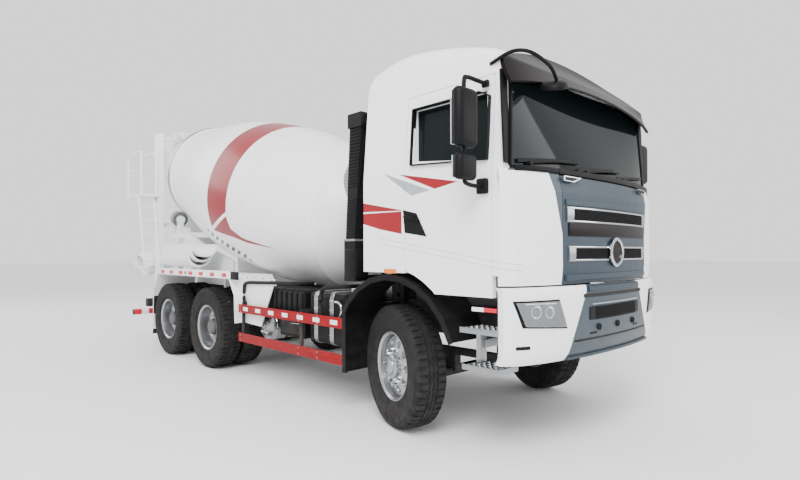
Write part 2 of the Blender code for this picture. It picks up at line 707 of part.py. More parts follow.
def make_corner_panels():
    """The wrap-round panels beside the lid."""
    xs = spaced(-CAB_HALF_WIDTH + 0.002, -HATCH_HALF - RUN_GAP, 6)
    rows, back = [], []
    for z, shift in ((HATCH_BOTTOM, 0.012), (1.40, 0.0), (1.95, 0.004), (2.10, 0.035)):
        rows.append([(x, front_line(x) + shift, z) for x in xs])
        back.append([(x, shell_front(x, BELT) - 0.0015, z) for x in xs])
    panel = slab(rows, back)
    both_sides(panel, "corner_panel", WHITE)


def make_doors():
    for side, stem in ((-1, "right"), (1, "left")):
        door = side_slab((DOOR_FRONT, DOOR_BACK), (DOOR_BOTTOM, DOOR_TOP), DOOR_THICK - RUN_GAP, side)
        arch = cylinder((side * 0.9, along(0.02), ARCH_CENTRE_Z), (side * 1.4, along(0.02), ARCH_CENTRE_Z),
                        ARCH_RADIUS + 0.06, 48)
        latch = box((side * (1.22 - DOOR_THICK + RUN_GAP + 0.01), side * (1.22 - DOOR_THICK + SEAT_GAP)),
                    (DOOR_BACK - 0.04, DOOR_BACK - 0.01), (1.60, 1.70))
        door = combine(door, [arch, window_cutter(side)], "DIFFERENCE")
        door = combine(door, [latch])
        named(door, "door_" + stem, WHITE)
        heights = (2.155, 2.685)
        ends = (along(-1.045), along(-0.24))
        depth = DOOR_THICK - RUN_GAP
        corners = [[(y, z + (0.0 if z > 2.3 else 0.07 * i)) for i, y in enumerate(ends)] for z in heights]
        outer, inner = ([[(side * (half_width(z) - depth - gap), y, z) for y, z in row]
                         for row in corners] for gap in (SEAT_GAP, 0.006))
        named(slab(outer, inner), "door_glass_" + stem, GLASS)


def make_mirrors():
    """The two mirrors on one arm, carried by the door."""
    x = 1.44
    y = along(-1.00)
    head = box((-x - 0.11, -x + 0.11), (y - 0.055, y + 0.045), (2.22, 2.64), 0.03)
    low = box((-x - 0.10, -x + 0.10), (y - 0.05, y + 0.045), (2.00, 2.19), 0.025)
    arm = tube(rounded([(-1.18, y, 2.72), (-x, y, 2.72), (-x, y, 1.98), (-1.225, y, 1.98)], 0.05, 2), 0.016)
    foot = box((-1.235, -CAB_HALF_WIDTH - SEAT_GAP), (y - 0.04, y + 0.04), (1.93, 2.03))
    both_sides(combine(head, [low, arm, foot]), "mirror", BLACK)


# ---------------------------------------------------------------- inside the cab
def make_seats():
    for x, stem in ((-0.55, "right"), (0.55, "left")):
        base = box((x - 0.2, x + 0.2), (along(-0.55), along(-0.15)),
                   (FLOOR_BOTTOM + FLOOR_THICK + SEAT_GAP, 1.66))
        cushion = box((x - 0.25, x + 0.25), (along(-0.65), along(-0.08)), (1.61, 1.75))
        back = box((x - 0.24, x + 0.24), (along(-0.12), along(0.02)), (1.68, 2.36))
        head = box((x - 0.14, x + 0.14), (along(-0.08), along(0.01)), (2.32, 2.56))
        named(combine(base, [cushion, back, head]), "seat_" + stem, SEAT_CLOTH)


def make_dashboard():
    w = CAB_HALF_WIDTH - WALL - 0.02
    xs = spaced(-1.0, 1.0, 8)
    top = [(x * w, shell_front(x * w, BELT) + WALL + 0.004, 2.06) for x in xs]
    foot = [(x * w, shell_front(x * w, BELT) + WALL + 0.004, 1.72) for x in xs]
    edge = [(x * w, along(-0.84), 2.02) for x in xs]
    under = [(x * w, along(-0.86), 1.74) for x in xs]
    block = slab([foot, top], [under, edge])
    legs = [box((side * 0.18 - 0.03, side * 0.18 + 0.03), (along(-1.05), along(-0.95)),
                (FLOOR_BOTTOM + FLOOR_THICK + SEAT_GAP, 1.80)) for side in (-1, 1)]
    return named(combine(block, legs), "dashboard", TRIM)


def make_steering_wheel():
    tilt = math.radians(32)
    hub = Vector((0.55, along(-0.66), 1.98))
    axis = Vector((0, -math.sin(tilt), -math.cos(tilt)))
    ring = turned([(0.205, 0.0), (0.222, 0.016), (0.238, 0.0), (0.222, -0.016)], hub, axis, 20)
    spoke = cylinder(hub + Vector((-0.215, 0, 0)), hub + Vector((0.215, 0, 0)), 0.014, 8)
    boss = cylinder(hub - axis * 0.02, hub + axis * 0.06, 0.045, 12)
    foot = hub + axis * ((hub.z - FLOOR_BOTTOM - FLOOR_THICK - 0.02) / math.cos(tilt))
    column = cylinder(hub, foot, 0.022, 10)
    base = box((0.50, 0.60), (foot.y - 0.05, foot.y + 0.05),
               (FLOOR_BOTTOM + FLOOR_THICK + SEAT_GAP, FLOOR_BOTTOM + FLOOR_THICK + 0.05))
    return named(combine(outward(applied(ring)), [spoke, boss, column, base]), "steering_wheel", TRIM)


# ---------------------------------------------------------------- along the sides
RAIL_FACE = RAIL_X + RAIL_WIDTH / 2 + SEAT_GAP


def make_side_guards():
    """Two bars down each side, on two hoops that bend over to the rail above the tanks."""
    bars = [box((-1.215, -1.185), (along(0.66), along(2.72)), z, 0.006) for z in ((0.455, 0.555), (0.80, 0.90))]
    for place, top in ((1.405, 1.17), (2.66, 0.93)):
        bars.append(box((-1.190, -1.155), (along(place) - 0.02, along(place) + 0.02), (0.47, top)))
        bars.append(box((-1.18, -RAIL_FACE), (along(place) - 0.02, along(place) + 0.02), (top - 0.04, top)))
        bars.append(box((-RAIL_FACE - 0.05, -RAIL_FACE), (along(place) - 0.02, along(place) + 0.02),
                        (0.88, top - 0.01)))
    both_sides(combine(bars[0], bars[1:]), "side_guard", RED)


def make_tanks():
    body = box((-1.12, -0.56), (along(0.72), along(1.35)), (0.60, 1.12), 0.05)
    arms = [box((-0.58, -RAIL_FACE), (along(p) - 0.03, along(p) + 0.03), (0.80, 0.92)) for p in (0.85, 1.2)]
    both_sides(combine(body, arms), "fuel_tank", BLACK)
    cover = box((-1.10, -0.55), (along(1.46), along(2.60)), (0.86, 1.10), 0.02)
    low = box((-1.08, -0.60), (along(1.48), along(1.98)), (0.60, 0.88), 0.01)
    arms = [box((-0.58, -RAIL_FACE), (along(p) - 0.03, along(p) + 0.03), (0.90, 0.99)) for p in (1.6, 2.45)]
    both_sides(combine(cover, [low] + arms), "battery_box", BLACK)
    y = (along(2.02), along(2.58))
    air = cylinder((-0.93, y[0] + 0.04, 0.66), (-0.93, y[1] - 0.04, 0.66), 0.165, 20)
    ends = [cylinder((-0.93, a, 0.66), (-0.93, b, 0.66), 0.165, 20, 0.09)
            for a, b in ((y[0] + 0.045, y[0]), (y[1] - 0.045, y[1]))]
    pads = [box((-0.97, -0.89), (along(p) - 0.03, along(p) + 0.03), (0.78, 0.86 - SEAT_GAP))
            for p in (2.12, 2.45)]
    named(combine(air, ends + pads), "air_tank", STEEL)


def make_water_tank():
    y, z, r = along(0.83), 2.24, 0.235
    tank = cylinder((-0.88, y, z), (0.88, y, z), r, 28)
    ends = [cylinder((s * 0.875, y, z), (s * 0.95, y, z), r, 28, 0.15) for s in (-1, 1)]
    posts = [box((s * RAIL_X - 0.035, s * RAIL_X + 0.035), (y - 0.04, y + 0.04),
                 (RAIL_TOP + SEAT_GAP, z - 0.15)) for s in (-1, 1)]
    tie = box((-RAIL_X, RAIL_X), (y - 0.03, y + 0.03), (1.86, 1.93))
    return named(combine(tank, ends + posts + [tie]), "water_tank", STEEL)


def make_intake_stack():
    x = (-1.19, -1.03)
    low = box(x, (along(0.50), along(0.66)), (1.25, 1.62))
    tall = plate([(along(0.515), 1.55), (along(0.645), 1.55), (along(0.575), 2.70), (along(0.41), 2.70)],
                 x[1] - x[0] - 0.01, "X", x[0] + 0.005)
    cap = box((-1.20, -1.02), (along(0.395), along(0.59)), (2.66, 2.79))
    arm = box((-1.05, -RAIL_FACE - 0.01), (along(0.555), along(0.605)), (1.255, 1.30))
    drop = box((-RAIL_FACE - 0.05, -RAIL_FACE), (along(0.55), along(0.61)), (0.90, 1.31))
    return named(combine(low, [tall, cap, arm, drop]), "intake_stack", BLACK)


def make_rear_fenders():
    line = [(5.56, 0.32), (5.56, 0.80), (5.36, 1.225), (2.98, 1.225), (2.82, 1.00), (2.80, 0.66)]
    sheet = band([(along(y), z) for y, z in line[::-1]], 0.012, (-1.22, -0.60))
    lip = band([(along(y), z) for y, z in ((2.96, 1.215), (5.36, 1.215))], 0.075, (-1.22, -1.195))
    panel = plate([(along(2.30), 0.66), (along(2.82), 0.68), (along(2.99), 1.22), (along(1.98), 1.22)],
                  0.012, "X", -1.142)
    slot = box((-1.2, -1.1), (along(2.66) - 0.03, along(2.66) + 0.03), (0.87, 0.94))
    panel = combine(panel, [slot], "DIFFERENCE")
    tie = box((-1.142, -1.10), (along(2.78), along(2.83)), (0.70, 1.0))
    arms = [box((-0.62, -RAIL_FACE), (along(p) - 0.03, along(p) + 0.03), (0.93, 1.0)) for p in (2.81,)]
    arms += [box((-0.62, -RAIL_FACE), (along(4.245), along(4.305)), (0.93, 1.0)),
             box((-0.64, -0.585), (along(4.245), along(4.305)), (0.93, 1.23))]
    both_sides(combine(sheet, [lip, panel, tie] + arms), "rear_fender", WHITE)


def make_spare_chutes():
    """Three rolled chute lengths that lie in one another on the right-hand fender."""
    parts = []
    for i, (lift, y) in enumerate(((0.0, 4.50), (0.075, 4.40), (0.15, 4.30))):
        z = 1.50 + lift
        ring = arc((-0.92, z), 0.19, 180, 360, 10) + arc((-0.92, z), 0.165, 360, 180, 10)
        parts.append(plate(ring, -1.15, "Y", along(y) + 1.15))
    ribs = [box((-0.96, -0.88), (along(p) - 0.03, along(p) + 0.03), (1.237 + SEAT_GAP, 1.50))
            for p in (4.75, 5.25)]
    return named(combine(parts[0], parts[1:] + ribs), "spare_chutes", WHITE)


# ---------------------------------------------------------------- drum and its drive
DRUM_AXIS = Vector((0, math.cos(DRUM_TILT), math.sin(DRUM_TILT)))
DRUM_DOWN = Vector((0, math.sin(DRUM_TILT), -math.cos(DRUM_TILT)))


def drum_place(s, off=0.0, x=0.0):
    """A point at distance s along the drum's axis and off below it."""
    return DRUM_START + DRUM_AXIS * s + DRUM_DOWN * off + Vector((x, 0, 0))


def make_drum():
    outer = [(0.0, DRUM_PROFILE[0][0])]
    for s, r in DRUM_PROFILE:
        outer.append((r, s))
        if abs(s - DRUM_PROFILE[-2][0]) < 0.001:
            outer.pop()
            outer += [(0.842, RING_PLACE - RING_WIDTH / 2 - 0.1), (0.835, RING_PLACE - RING_WIDTH / 2),
                      (RING_RADIUS, RING_PLACE - RING_WIDTH / 2),
                      (RING_RADIUS, RING_PLACE + RING_WIDTH / 2),
                      (0.80, RING_PLACE + RING_WIDTH / 2)]
    inner = [(DRUM_PROFILE[-1][1] - DRUM_WALL, DRUM_PROFILE[-1][0]), (0.78, RING_PLACE)]
    inner += [(r - DRUM_WALL, s) for s, r in DRUM_PROFILE[3:8][::-1]]
    inner += [(0.59, -0.17), (0.34, -0.32), (0.0, -0.34)]
    drum = turned(outer + inner, DRUM_START, DRUM_AXIS, DRUM_SIDES, closed=False)
    return named(outward(applied(drum)), "drum", WHITE)


def make_drum_drive():
    """The front pedestal with the gearbox that turns the drum."""
    top = DRUM_PROFILE[0][0] - PIN_GAP
    box_ = cylinder(drum_place(top - 0.30), drum_place(top - 0.02), 0.21, 20)
    flange = cylinder(drum_place(top - 0.05), drum_place(top), 0.15, 20)
    motor = cylinder(drum_place(top - 0.46), drum_place(top - 0.28), 0.11, 14)
    sides = []
    for s in (-1, 1):
        sides.append(plate([(along(0.95), RAIL_TOP + SEAT_GAP), (along(1.30), RAIL_TOP + SEAT_GAP),
                            (along(1.22), 1.60), (along(1.02), 1.60)], 0.04, "X", s * 0.17 - 0.02))
    base = box((-RAIL_X - 0.03, RAIL_X + 0.03), (along(0.92), along(1.34)),
               (RAIL_TOP + SEAT_GAP, RAIL_TOP + 0.05))
    return named(combine(box_, [flange, motor, base] + sides), "drum_drive", FRAME_BLACK)


def roller_start(side):
    off = RING_RADIUS + ROLLER_RADIUS + 0.003
    return drum_place(RING_PLACE, off * math.cos(ROLLER_SPREAD), side * off * math.sin(ROLLER_SPREAD))


def make_rollers():
    for side, stem in ((-1, "right"), (1, "left")):
        half = ROLLER_WIDTH / 2
        roller = cylinder(roller_start(side) - DRUM_AXIS * half, roller_start(side) + DRUM_AXIS * half,
                          ROLLER_RADIUS, 20)
        named(roller, "drum_roller_" + stem, STEEL)


def make_rear_pedestal():
    parts = []
    low = RAIL_TOP + SEAT_GAP
    for s in (-1, 1):
        x = s * 0.555
        side = plate([(along(4.15), low), (along(6.20), low), (along(6.20), 1.86), (along(5.80), 1.86),
                      (along(5.15), 1.66), (along(4.15), 1.40)], 0.03, "X", x - 0.015)
        window = plate([(along(5.14), 1.36), (along(5.80), 1.36), (along(5.84), 1.66), (along(5.24), 1.54)],
                       0.2, "X", x - 0.1)
        parts.append(combine(side, [window], "DIFFERENCE"))
        at = roller_start(s)
        half = ROLLER_WIDTH / 2 + PIN_GAP
        for end, turn in ((-half, -1), (half, 1)):
            lug = cylinder(at + DRUM_AXIS * end, at + DRUM_AXIS * (end + turn * 0.03), 0.07, 12)
            stem = box((-0.05, 0.05), (-0.014, 0.014), (-0.33, 0.0))
            stem.data.transform(Matrix.Translation(stem.location))
            stem.location = at + DRUM_AXIS * (end + turn * 0.015)
            stem.rotation_euler = (DRUM_TILT, 0, 0)
            parts += [lug, stem]
        parts.append(box((x - 0.09, x + 0.14) if s > 0 else (x - 0.14, x + 0.09),
                         (at.y - 0.16, at.y + 0.16), (1.78, 1.84)))
    for place in (4.22, 6.10):
        parts.append(box((-0.555, 0.555), (along(place) - 0.05, along(place) + 0.05), (low, 1.16)))
    parts.append(box((-0.555, 0.555), (along(6.05), along(6.15)), (1.66, 1.80)))
    return named(combine(parts[0], parts[1:]), "rear_pedestal", WHITE)


# ---------------------------------------------------------------- rear end
POST_Y = (along(6.47), along(6.53))
HOPPER_HINGE = (along(6.50), 3.56)


def make_rear_frame():
    """The posts that carry the hopper and the discharge funnel, with the shelf for the chute."""
    low = RAIL_TOP + SEAT_GAP
    base = box((-0.86, 0.86), (along(6.28), POST_Y[1]), (low, low + 0.07))
    posts = [box((s * 0.80, s * 0.86), (along(6.28), POST_Y[1]), (low, 3.60)) for s in (-1, 1)]
    shelf = box((-0.14, 0.14), (along(6.45), along(6.90)), (low, low + 0.07))
    bar = box((-0.82, 0.82), (POST_Y[0], POST_Y[1] + 0.04), (1.99, 2.06))
    top = (along(6.56), along(7.04))
    outer = loft([[(-0.16, along(6.66), 1.92), (0.16, along(6.66), 1.92), (0.16, along(6.92), 1.92),
                   (-0.16, along(6.92), 1.92)],
                  [(-0.42, top[0], 2.40), (0.42, top[0], 2.40), (0.42, top[1], 2.40), (-0.42, top[1], 2.40)]])
    inner = loft([[(-0.13, along(6.69), 1.90), (0.13, along(6.69), 1.90), (0.13, along(6.89), 1.90),
                   (-0.13, along(6.89), 1.90)],
                  [(-0.40, top[0] + 0.02, 2.42), (0.40, top[0] + 0.02, 2.42), (0.40, top[1] - 0.02, 2.42),
                   (-0.40, top[1] - 0.02, 2.42)]])
    link = box((-0.10, 0.10), (POST_Y[1], along(6.67)), (1.99, 2.06))
    funnel = combine(outer, [link, bar])
    funnel = combine(funnel, [inner], "DIFFERENCE")
    ears = []
    for s in (-1, 1):
        ears.append(box((s * 0.755, s * 0.81), POST_Y, (HOPPER_HINGE[1] - 0.03, HOPPER_HINGE[1] + 0.03)))
    return named(combine(funnel, [base, shelf] + posts + ears), "rear_frame", WHITE)


def make_hopper():
    """The charging hopper, which leads into the upper half of the drum's mouth."""
    def ring(y, z, half, w, slope):
        return [(-w, y - half, z - half * slope), (w, y - half, z - half * slope),
                (w, y + half, z + half * slope), (-w, y + half, z + half * slope)]
    outer = loft([ring(along(6.30), 3.04, 0.17, 0.26, -0.9), ring(along(6.66), 3.42, 0.34, 0.42, -0.35),
                  ring(along(6.74), 3.66, 0.42, 0.52, 0.0)])
    inner = loft([ring(along(6.285), 3.02, 0.15, 0.24, -0.9), ring(along(6.66), 3.43, 0.32, 0.40, -0.35),
                  ring(along(6.74), 3.67, 0.40, 0.50, 0.0)])
    arms = [box((s * 0.43, s * (0.755 - PIN_GAP)), (HOPPER_HINGE[0] - 0.025, HOPPER_HINGE[0] + 0.025),
                (HOPPER_HINGE[1] - 0.025, HOPPER_HINGE[1] + 0.025)) for s in (-1, 1)]
    hopper = combine(combine(outer, arms), [inner], "DIFFERENCE")
    return named(hopper, "hopper", WHITE)


def make_ladder_and_platform():
    x = (-1.16, -0.88)
    deck = box(x, (along(6.33), along(7.05)), (2.50, 2.54))
    parts = []
    for a in x:
        side = a + (0.02 if a == x[0] else -0.02)
        parts.append(tube(rounded([(side, along(6.36), 2.53), (side, along(6.36), 3.27),
                                   (side, along(7.02), 3.27), (side, along(7.02), 2.53)], 0.08, 2), 0.018))
    parts.append(tube([(x[0] + 0.02, along(6.99), 3.0), (x[1] - 0.02, along(6.99), 3.0)], 0.016))
    parts.append(box((x[1] - 0.02, -0.86 - SEAT_GAP), (POST_Y[0], POST_Y[1]), (2.44, 2.54)))
    foot, head = Vector((0, along(6.16), 1.34)), Vector((0, along(6.46), 2.51))
    for a in (-1.15, -0.90):
        parts.append(tube([(a, foot.y, foot.z), (a, head.y, head.z)], 0.018))
    for i in range(5):
        p = foot.lerp(head, 0.04 + 0.2 * i)
        parts.append(tube([(-1.15, p.y, p.z), (-0.90, p.y, p.z)], 0.014))
    p = foot.lerp(head, 0.64)
    parts.append(box((-0.91, -0.86 - SEAT_GAP), (p.y - 0.02, p.y + 0.12), (p.z - 0.02, p.z + 0.02)))
    return named(combine(deck, parts), "ladder_platform", WHITE)


CHUTE_PIVOT = Vector((0, along(6.79), 1.62))
CHUTE_SLOPE = math.radians(18)
CHUTE_LENGTH = 1.08


def make_chute():
    """The swivelling carrier, the chute that tilts on it and the length that folds over the chute."""
    base = RAIL_TOP + SEAT_GAP + 0.07
    y, z = CHUTE_PIVOT.y, CHUTE_PIVOT.z
    post = cylinder((0, y, base + PIN_GAP), (0, y, 1.33), 0.07, 16)
    plate_ = box((-0.06, 0.06), (y - 0.26, y + 0.26), (1.30, 1.34))
    ears = [box((-0.05, 0.05), (y + s * 0.235, y + s * 0.26), (1.31, z + 0.03)) for s in (-1, 1)]
    named(combine(post, [plate_] + ears), "chute_carrier", FRAME_BLACK)

    tilt = Matrix.Translation(CHUTE_PIVOT) @ Matrix.Rotation(-CHUTE_SLOPE, 4, "Y")

    def trough(start, end, up, lift):
        turn = (180, 360) if up else (180, 0)
        ring = arc((0, 0), 0.205, *turn, 12) + arc((0, 0), 0.19, *turn[::-1], 12)
        made = plate(ring, end - start, "X", start)
        made.data.transform(Matrix.Translation((made.location.x, 0, lift)))
        made.location = (0, 0, 0)
        return made

    chute = trough(-CHUTE_LENGTH + 0.047, 0.14, True, 0.0)
    pads = [box((-0.04, 0.04), (s * 0.20, s * (0.235 - PIN_GAP)), (-0.04, 0.025)) for s in (-1, 1)]
    end = -CHUTE_LENGTH + 0.03
    lugs = [box((end, end + 0.03), (s * 0.195, s * 0.235), (-0.05, -0.003)) for s in (-1, 1)]
    lugs += [box((end - 0.03, end + 0.03), (s * 0.209, s * 0.235), (-0.02, 0.045)) for s in (-1, 1)]
    for piece in pads + lugs:
        piece.data.transform(Matrix.Translation(piece.location))
        piece.location = (0, 0, 0)
    chute = applied(combine(chute, pads + lugs))
    chute.data.transform(tilt)
    named(outward(chute), "chute", WHITE)
    fold = trough(-CHUTE_LENGTH + 0.038, -0.20, False, 0.012)
    ears = []
    for s in (-1, 1):
        ear = box((end - 0.03, end + 0.13), (s * (0.235 + PIN_GAP), s * 0.255), (-0.02, 0.065))
        ear.data.transform(Matrix.Translation(ear.location))
        ear.location = (0, 0, 0)
        ears.append(ear)
        tie = box((end + 0.065, end + 0.13), (s * 0.195, s * 0.25), (0.052, 0.08))
        tie.data.transform(Matrix.Translation(tie.location))
        tie.location = (0, 0, 0)
        ears.append(tie)
    fold = applied(combine(fold, ears))
    fold.data.transform(tilt)
    named(outward(fold), "chute_extension", WHITE)


def make_underrun():
    beam = box((-1.02, 1.02), (along(6.40), along(6.52)), (0.60, 0.735), 0.006)
    tube_ = cylinder((-1.12, along(6.84), 0.48), (1.12, along(6.84), 0.48), 0.05, 14)
    parts = [tube_]
    for s in (-1, 1):
        parts.append(box((s * RAIL_X - 0.035, s * RAIL_X + 0.035), (along(6.42), along(6.50)),
                         (0.72, RAIL_BOTTOM - SEAT_GAP)))
        parts.append(plate([(along(6.42), 0.62), (along(6.50), 0.72), (along(6.86), 0.52),
                            (along(6.86), 0.45)], 0.03, "X", s * 0.60 - 0.015))
    return named(combine(beam, parts), "underrun_beam", FRAME_BLACK)


# ---------------------------------------------------------------- the whole truck
make_frame()
make_engine()
make_front_axle()
make_rear_bogie()
make_drive_shaft()
make_front_wheels()
make_rear_wheels()
make_bumper()
make_steps()
make_front_fenders()
make_cab_shell()
make_cab_roof()
visor = combine(make_visor(), [shifted("cab_roof", -0.0006), shifted("cab_shell", -0.0006)], "DIFFERENCE")
named(visor, "sun_visor", BLACK)
named(combine(make_windscreen(), [shifted("cab_shell", -0.0003)], "DIFFERENCE"), "windscreen", GLASS)
make_front_hatch()
make_corner_panels()
make_doors()
make_mirrors()
make_seats()
make_dashboard()
make_steering_wheel()
make_side_guards()
make_tanks()
make_water_tank()
make_intake_stack()
make_rear_fenders()
make_spare_chutes()
make_drum()
make_drum_drive()
make_rollers()
make_rear_pedestal()
make_rear_frame()
make_hopper()
make_ladder_and_platform()
make_chute()
make_underrun()
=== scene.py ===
# %% [markdown]
# # A concrete mixer truck
# The truck has a tilt cab in front, a drum that turns behind it, and three axles.
# The solid model comes from another tool and is the measuring frame: this lesson
# dresses it. Where a solid's shape is already right it only gets a finish, and
# where the real truck has finer shapes a detailed piece stands for it.

# %% Load the solid model
import json
import math

import bmesh
import bpy
import numpy as np
from mathutils import Matrix, Vector


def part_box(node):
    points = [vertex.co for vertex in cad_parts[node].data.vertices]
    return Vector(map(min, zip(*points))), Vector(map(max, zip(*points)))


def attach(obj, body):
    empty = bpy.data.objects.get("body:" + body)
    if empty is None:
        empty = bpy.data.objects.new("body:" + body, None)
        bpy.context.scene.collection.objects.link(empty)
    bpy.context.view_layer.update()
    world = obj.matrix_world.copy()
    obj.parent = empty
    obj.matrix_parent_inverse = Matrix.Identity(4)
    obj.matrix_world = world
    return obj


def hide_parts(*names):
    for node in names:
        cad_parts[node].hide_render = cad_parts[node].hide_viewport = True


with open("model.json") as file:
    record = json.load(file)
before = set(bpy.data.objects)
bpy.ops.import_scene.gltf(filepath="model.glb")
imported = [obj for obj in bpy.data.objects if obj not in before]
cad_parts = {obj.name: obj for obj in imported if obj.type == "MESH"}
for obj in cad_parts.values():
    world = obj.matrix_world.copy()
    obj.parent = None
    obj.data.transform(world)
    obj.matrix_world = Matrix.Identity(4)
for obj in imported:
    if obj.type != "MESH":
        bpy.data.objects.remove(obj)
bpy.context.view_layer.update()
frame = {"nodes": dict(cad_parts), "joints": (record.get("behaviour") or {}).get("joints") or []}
NODES = frame["nodes"]
JOINTS = {joint["name"]: joint for joint in frame["joints"]}

# %% [markdown]
# ## Surfaces from arrays
# Nearly every detail is either a profile turned round an axis, a section carried
# along a path, or a grid of points. All three are worked out as whole arrays, and
# one helper writes them into a mesh, closes it, turns its faces outwards and hands
# it to the part of the truck that it moves with.

# %% Faces of a grid
def grid_faces(rows, columns, around=False, across=False):
    """Quads between neighbours of a rows x columns grid; around joins the last row to the first."""
    r = np.arange(rows if around else rows - 1)[:, None]
    c = np.arange(columns if across else columns - 1)[None, :]
    next_row, next_column = (r + 1) % rows, (c + 1) % columns
    corners = [(r, c), (r, next_column), (next_row, next_column), (next_row, c)]
    return np.stack([row * columns + column for row, column in corners], -1).reshape(-1, 4)


def fan(ring, centre):
    """Triangles from a ring of point numbers to a centre point."""
    ring = np.asarray(ring)
    return np.stack([ring, np.roll(ring, -1), np.full(len(ring), centre)], -1)


# %% Write arrays into one piece
def piece(name, body, parts, hides=(), angle=35.0):
    """parts are (points, faces, finish): the meshes are joined, welded and turned outwards."""
    mesh = bpy.data.meshes.new(name)
    points, faces, finishes, numbers, start = [], [], [], [], 0
    for part_points, part_faces, finish in parts:
        if finish not in finishes:
            finishes.append(finish)
        points.append(part_points)
        for block_ in part_faces:
            faces += (np.asarray(block_) + start).tolist()
            numbers.append(np.full(len(block_), finishes.index(finish)))
        start += len(part_points)
    mesh.from_pydata(np.concatenate(points).tolist(), [], faces)
    mesh.polygons.foreach_set("material_index", np.concatenate(numbers).astype(np.int32))
    for finish in finishes:
        mesh.materials.append(finish)
    work = bmesh.new()
    work.from_mesh(mesh)
    bmesh.ops.remove_doubles(work, verts=work.verts, dist=1e-5)
    bmesh.ops.recalc_face_normals(work, faces=work.faces)
    work.to_mesh(mesh)
    work.free()
    mesh.shade_smooth()
    mesh.set_sharp_from_angle(angle=math.radians(angle))
    made = bpy.data.objects.new(name, mesh)
    bpy.context.scene.collection.objects.link(made)
    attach(made, body)
    if hides:
        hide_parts(*hides)
    return made


# %% A profile turned round an axis
def round_axis(centre, axis, t, r, a):
    """Point = centre + axis * a + r * (side * cos t + up * sin t), for arrays that broadcast together."""
    axis = np.array(axis, float) / np.linalg.norm(axis)
    side = np.cross(axis, (0, 0, 1) if abs(axis[2]) < 0.9 else (1, 0, 0))
    side /= np.linalg.norm(side)
    spoke = np.cos(t)[..., None] * side + np.sin(t)[..., None] * np.cross(side, axis)
    r, a = (np.asarray(v, float)[..., None] for v in (r, a))
    return (np.asarray(centre, float) + axis * a + spoke * r).reshape(-1, 3)


def turned(profile, centre, axis, count=48, finish=None, closed=True):
    """A profile of (r, a) carried round the axis; closed joins its last point to its first."""
    r, a = np.array(profile, float).T
    t = np.linspace(0, 2 * np.pi, count, endpoint=False)[:, None]
    return round_axis(centre, axis, t, r, a), [grid_faces(count, len(r), True, closed)], finish


# %% A section carried along a path
def capped_tube(n, k):
    """n rings of k points, closed by a fan at each end whose centres are the last two points."""
    return [grid_faces(n, k, False, True), fan(np.arange(k), n * k), fan(np.arange(k) + (n - 1) * k, n * k + 1)]


def carried(section, path, finish=None, up=(0, 0, 1)):
    """Point = path_i + side_i * x + up_i * y for each (x, y) of the closed section, with both ends closed."""
    path, section = np.array(path, float), np.array(section, float)
    run = np.gradient(path, axis=0)
    run /= np.linalg.norm(run, axis=1)[:, None]
    side = np.cross(run, up)
    side /= np.maximum(np.linalg.norm(side, axis=1), 1e-9)[:, None]
    above = np.cross(side, run)
    points = path[:, None] + side[:, None] * section[None, :, 0, None] + above[:, None] * section[None, :, 1, None]
    n, k = len(path), len(section)
    points = np.concatenate([points.reshape(-1, 3), path[:1], path[-1:]])
    return points, capped_tube(n, k), finish


def round_section(radius, count=12):
    """A circle of points, (r cos t, r sin t)."""
    t = np.linspace(0, 2 * np.pi, count, endpoint=False)
    return np.stack([radius * np.cos(t), radius * np.sin(t)], -1)


def soft_rectangle(wide, high, corner, steps=3):
    """A rectangle with quarter-circle corners."""
    corner = min(corner, wide / 2 - 1e-5, high / 2 - 1e-5)
    t = np.linspace(0, np.pi / 2, steps + 1)
    x, y = wide / 2 - corner, high / 2 - corner
    return np.concatenate([np.stack([sx + corner * np.cos(t + q), sy + corner * np.sin(t + q)], -1)
                           for q, sx, sy in ((0, x, y), (np.pi / 2, -x, y), (np.pi, -x, -y), (1.5 * np.pi, x, -y))])


def smooth_path(points, steps=6):
    """A Catmull-Rom curve through the points: four neighbours blended by a cubic."""
    p = np.array(points, float)
    p = np.concatenate([p[:1], p, p[-1:]])
    t = np.linspace(0, 1, steps, endpoint=False)[None, :, None]
    a, b, c, d = (p[i:len(p) - 3 + i, None] for i in range(4))
    curve = 0.5 * (2 * b + (c - a) * t + (2 * a - 5 * b + 4 * c - d) * t ** 2 + (3 * b - a - 3 * c + d) * t ** 3)
    return np.concatenate([curve.reshape(-1, p.shape[1]), p[-2:-1]])


def pipe(points, radius, finish, steps=6, count=12):
    """A circle carried along a smooth curve through the points."""
    return carried(round_section(radius, count), smooth_path(points, steps), finish)


def bar(start, end, wide, high, finish, corner=0.004, up=(0, 0, 1)):
    """A soft rectangle carried along a straight line."""
    return carried(soft_rectangle(wide, high, corner), np.linspace(start, end, 2), finish, up)


# %% A box with rounded edges
def block(low, high, finish, edge=0.01):
    """A rounded rectangle carried upwards, drawn in by edge*(1 - cos) at both ends so every edge is round."""
    low, high = np.array(low, float), np.array(high, float)
    edge = min(edge, *((high - low) / 2 - 1e-4))
    t = np.linspace(0, np.pi / 2, 4)
    inset = np.concatenate([edge * (1 - np.sin(t)), edge * (1 - np.sin(t[::-1]))])
    level = np.concatenate([low[2] + edge * (1 - np.cos(t)), high[2] - edge * (1 - np.cos(t[::-1]))])
    size, middle = high - low, (low + high) / 2
    rows = [np.c_[soft_rectangle(*(size[:2] - 2 * i), max(edge - i, 1e-3)) + middle[:2], np.full(16, z)]
            for i, z in zip(inset, level)]
    points = np.concatenate(rows + [[[middle[0], middle[1], low[2]], [middle[0], middle[1], high[2]]]])
    return points, capped_tube(len(rows), 16), finish


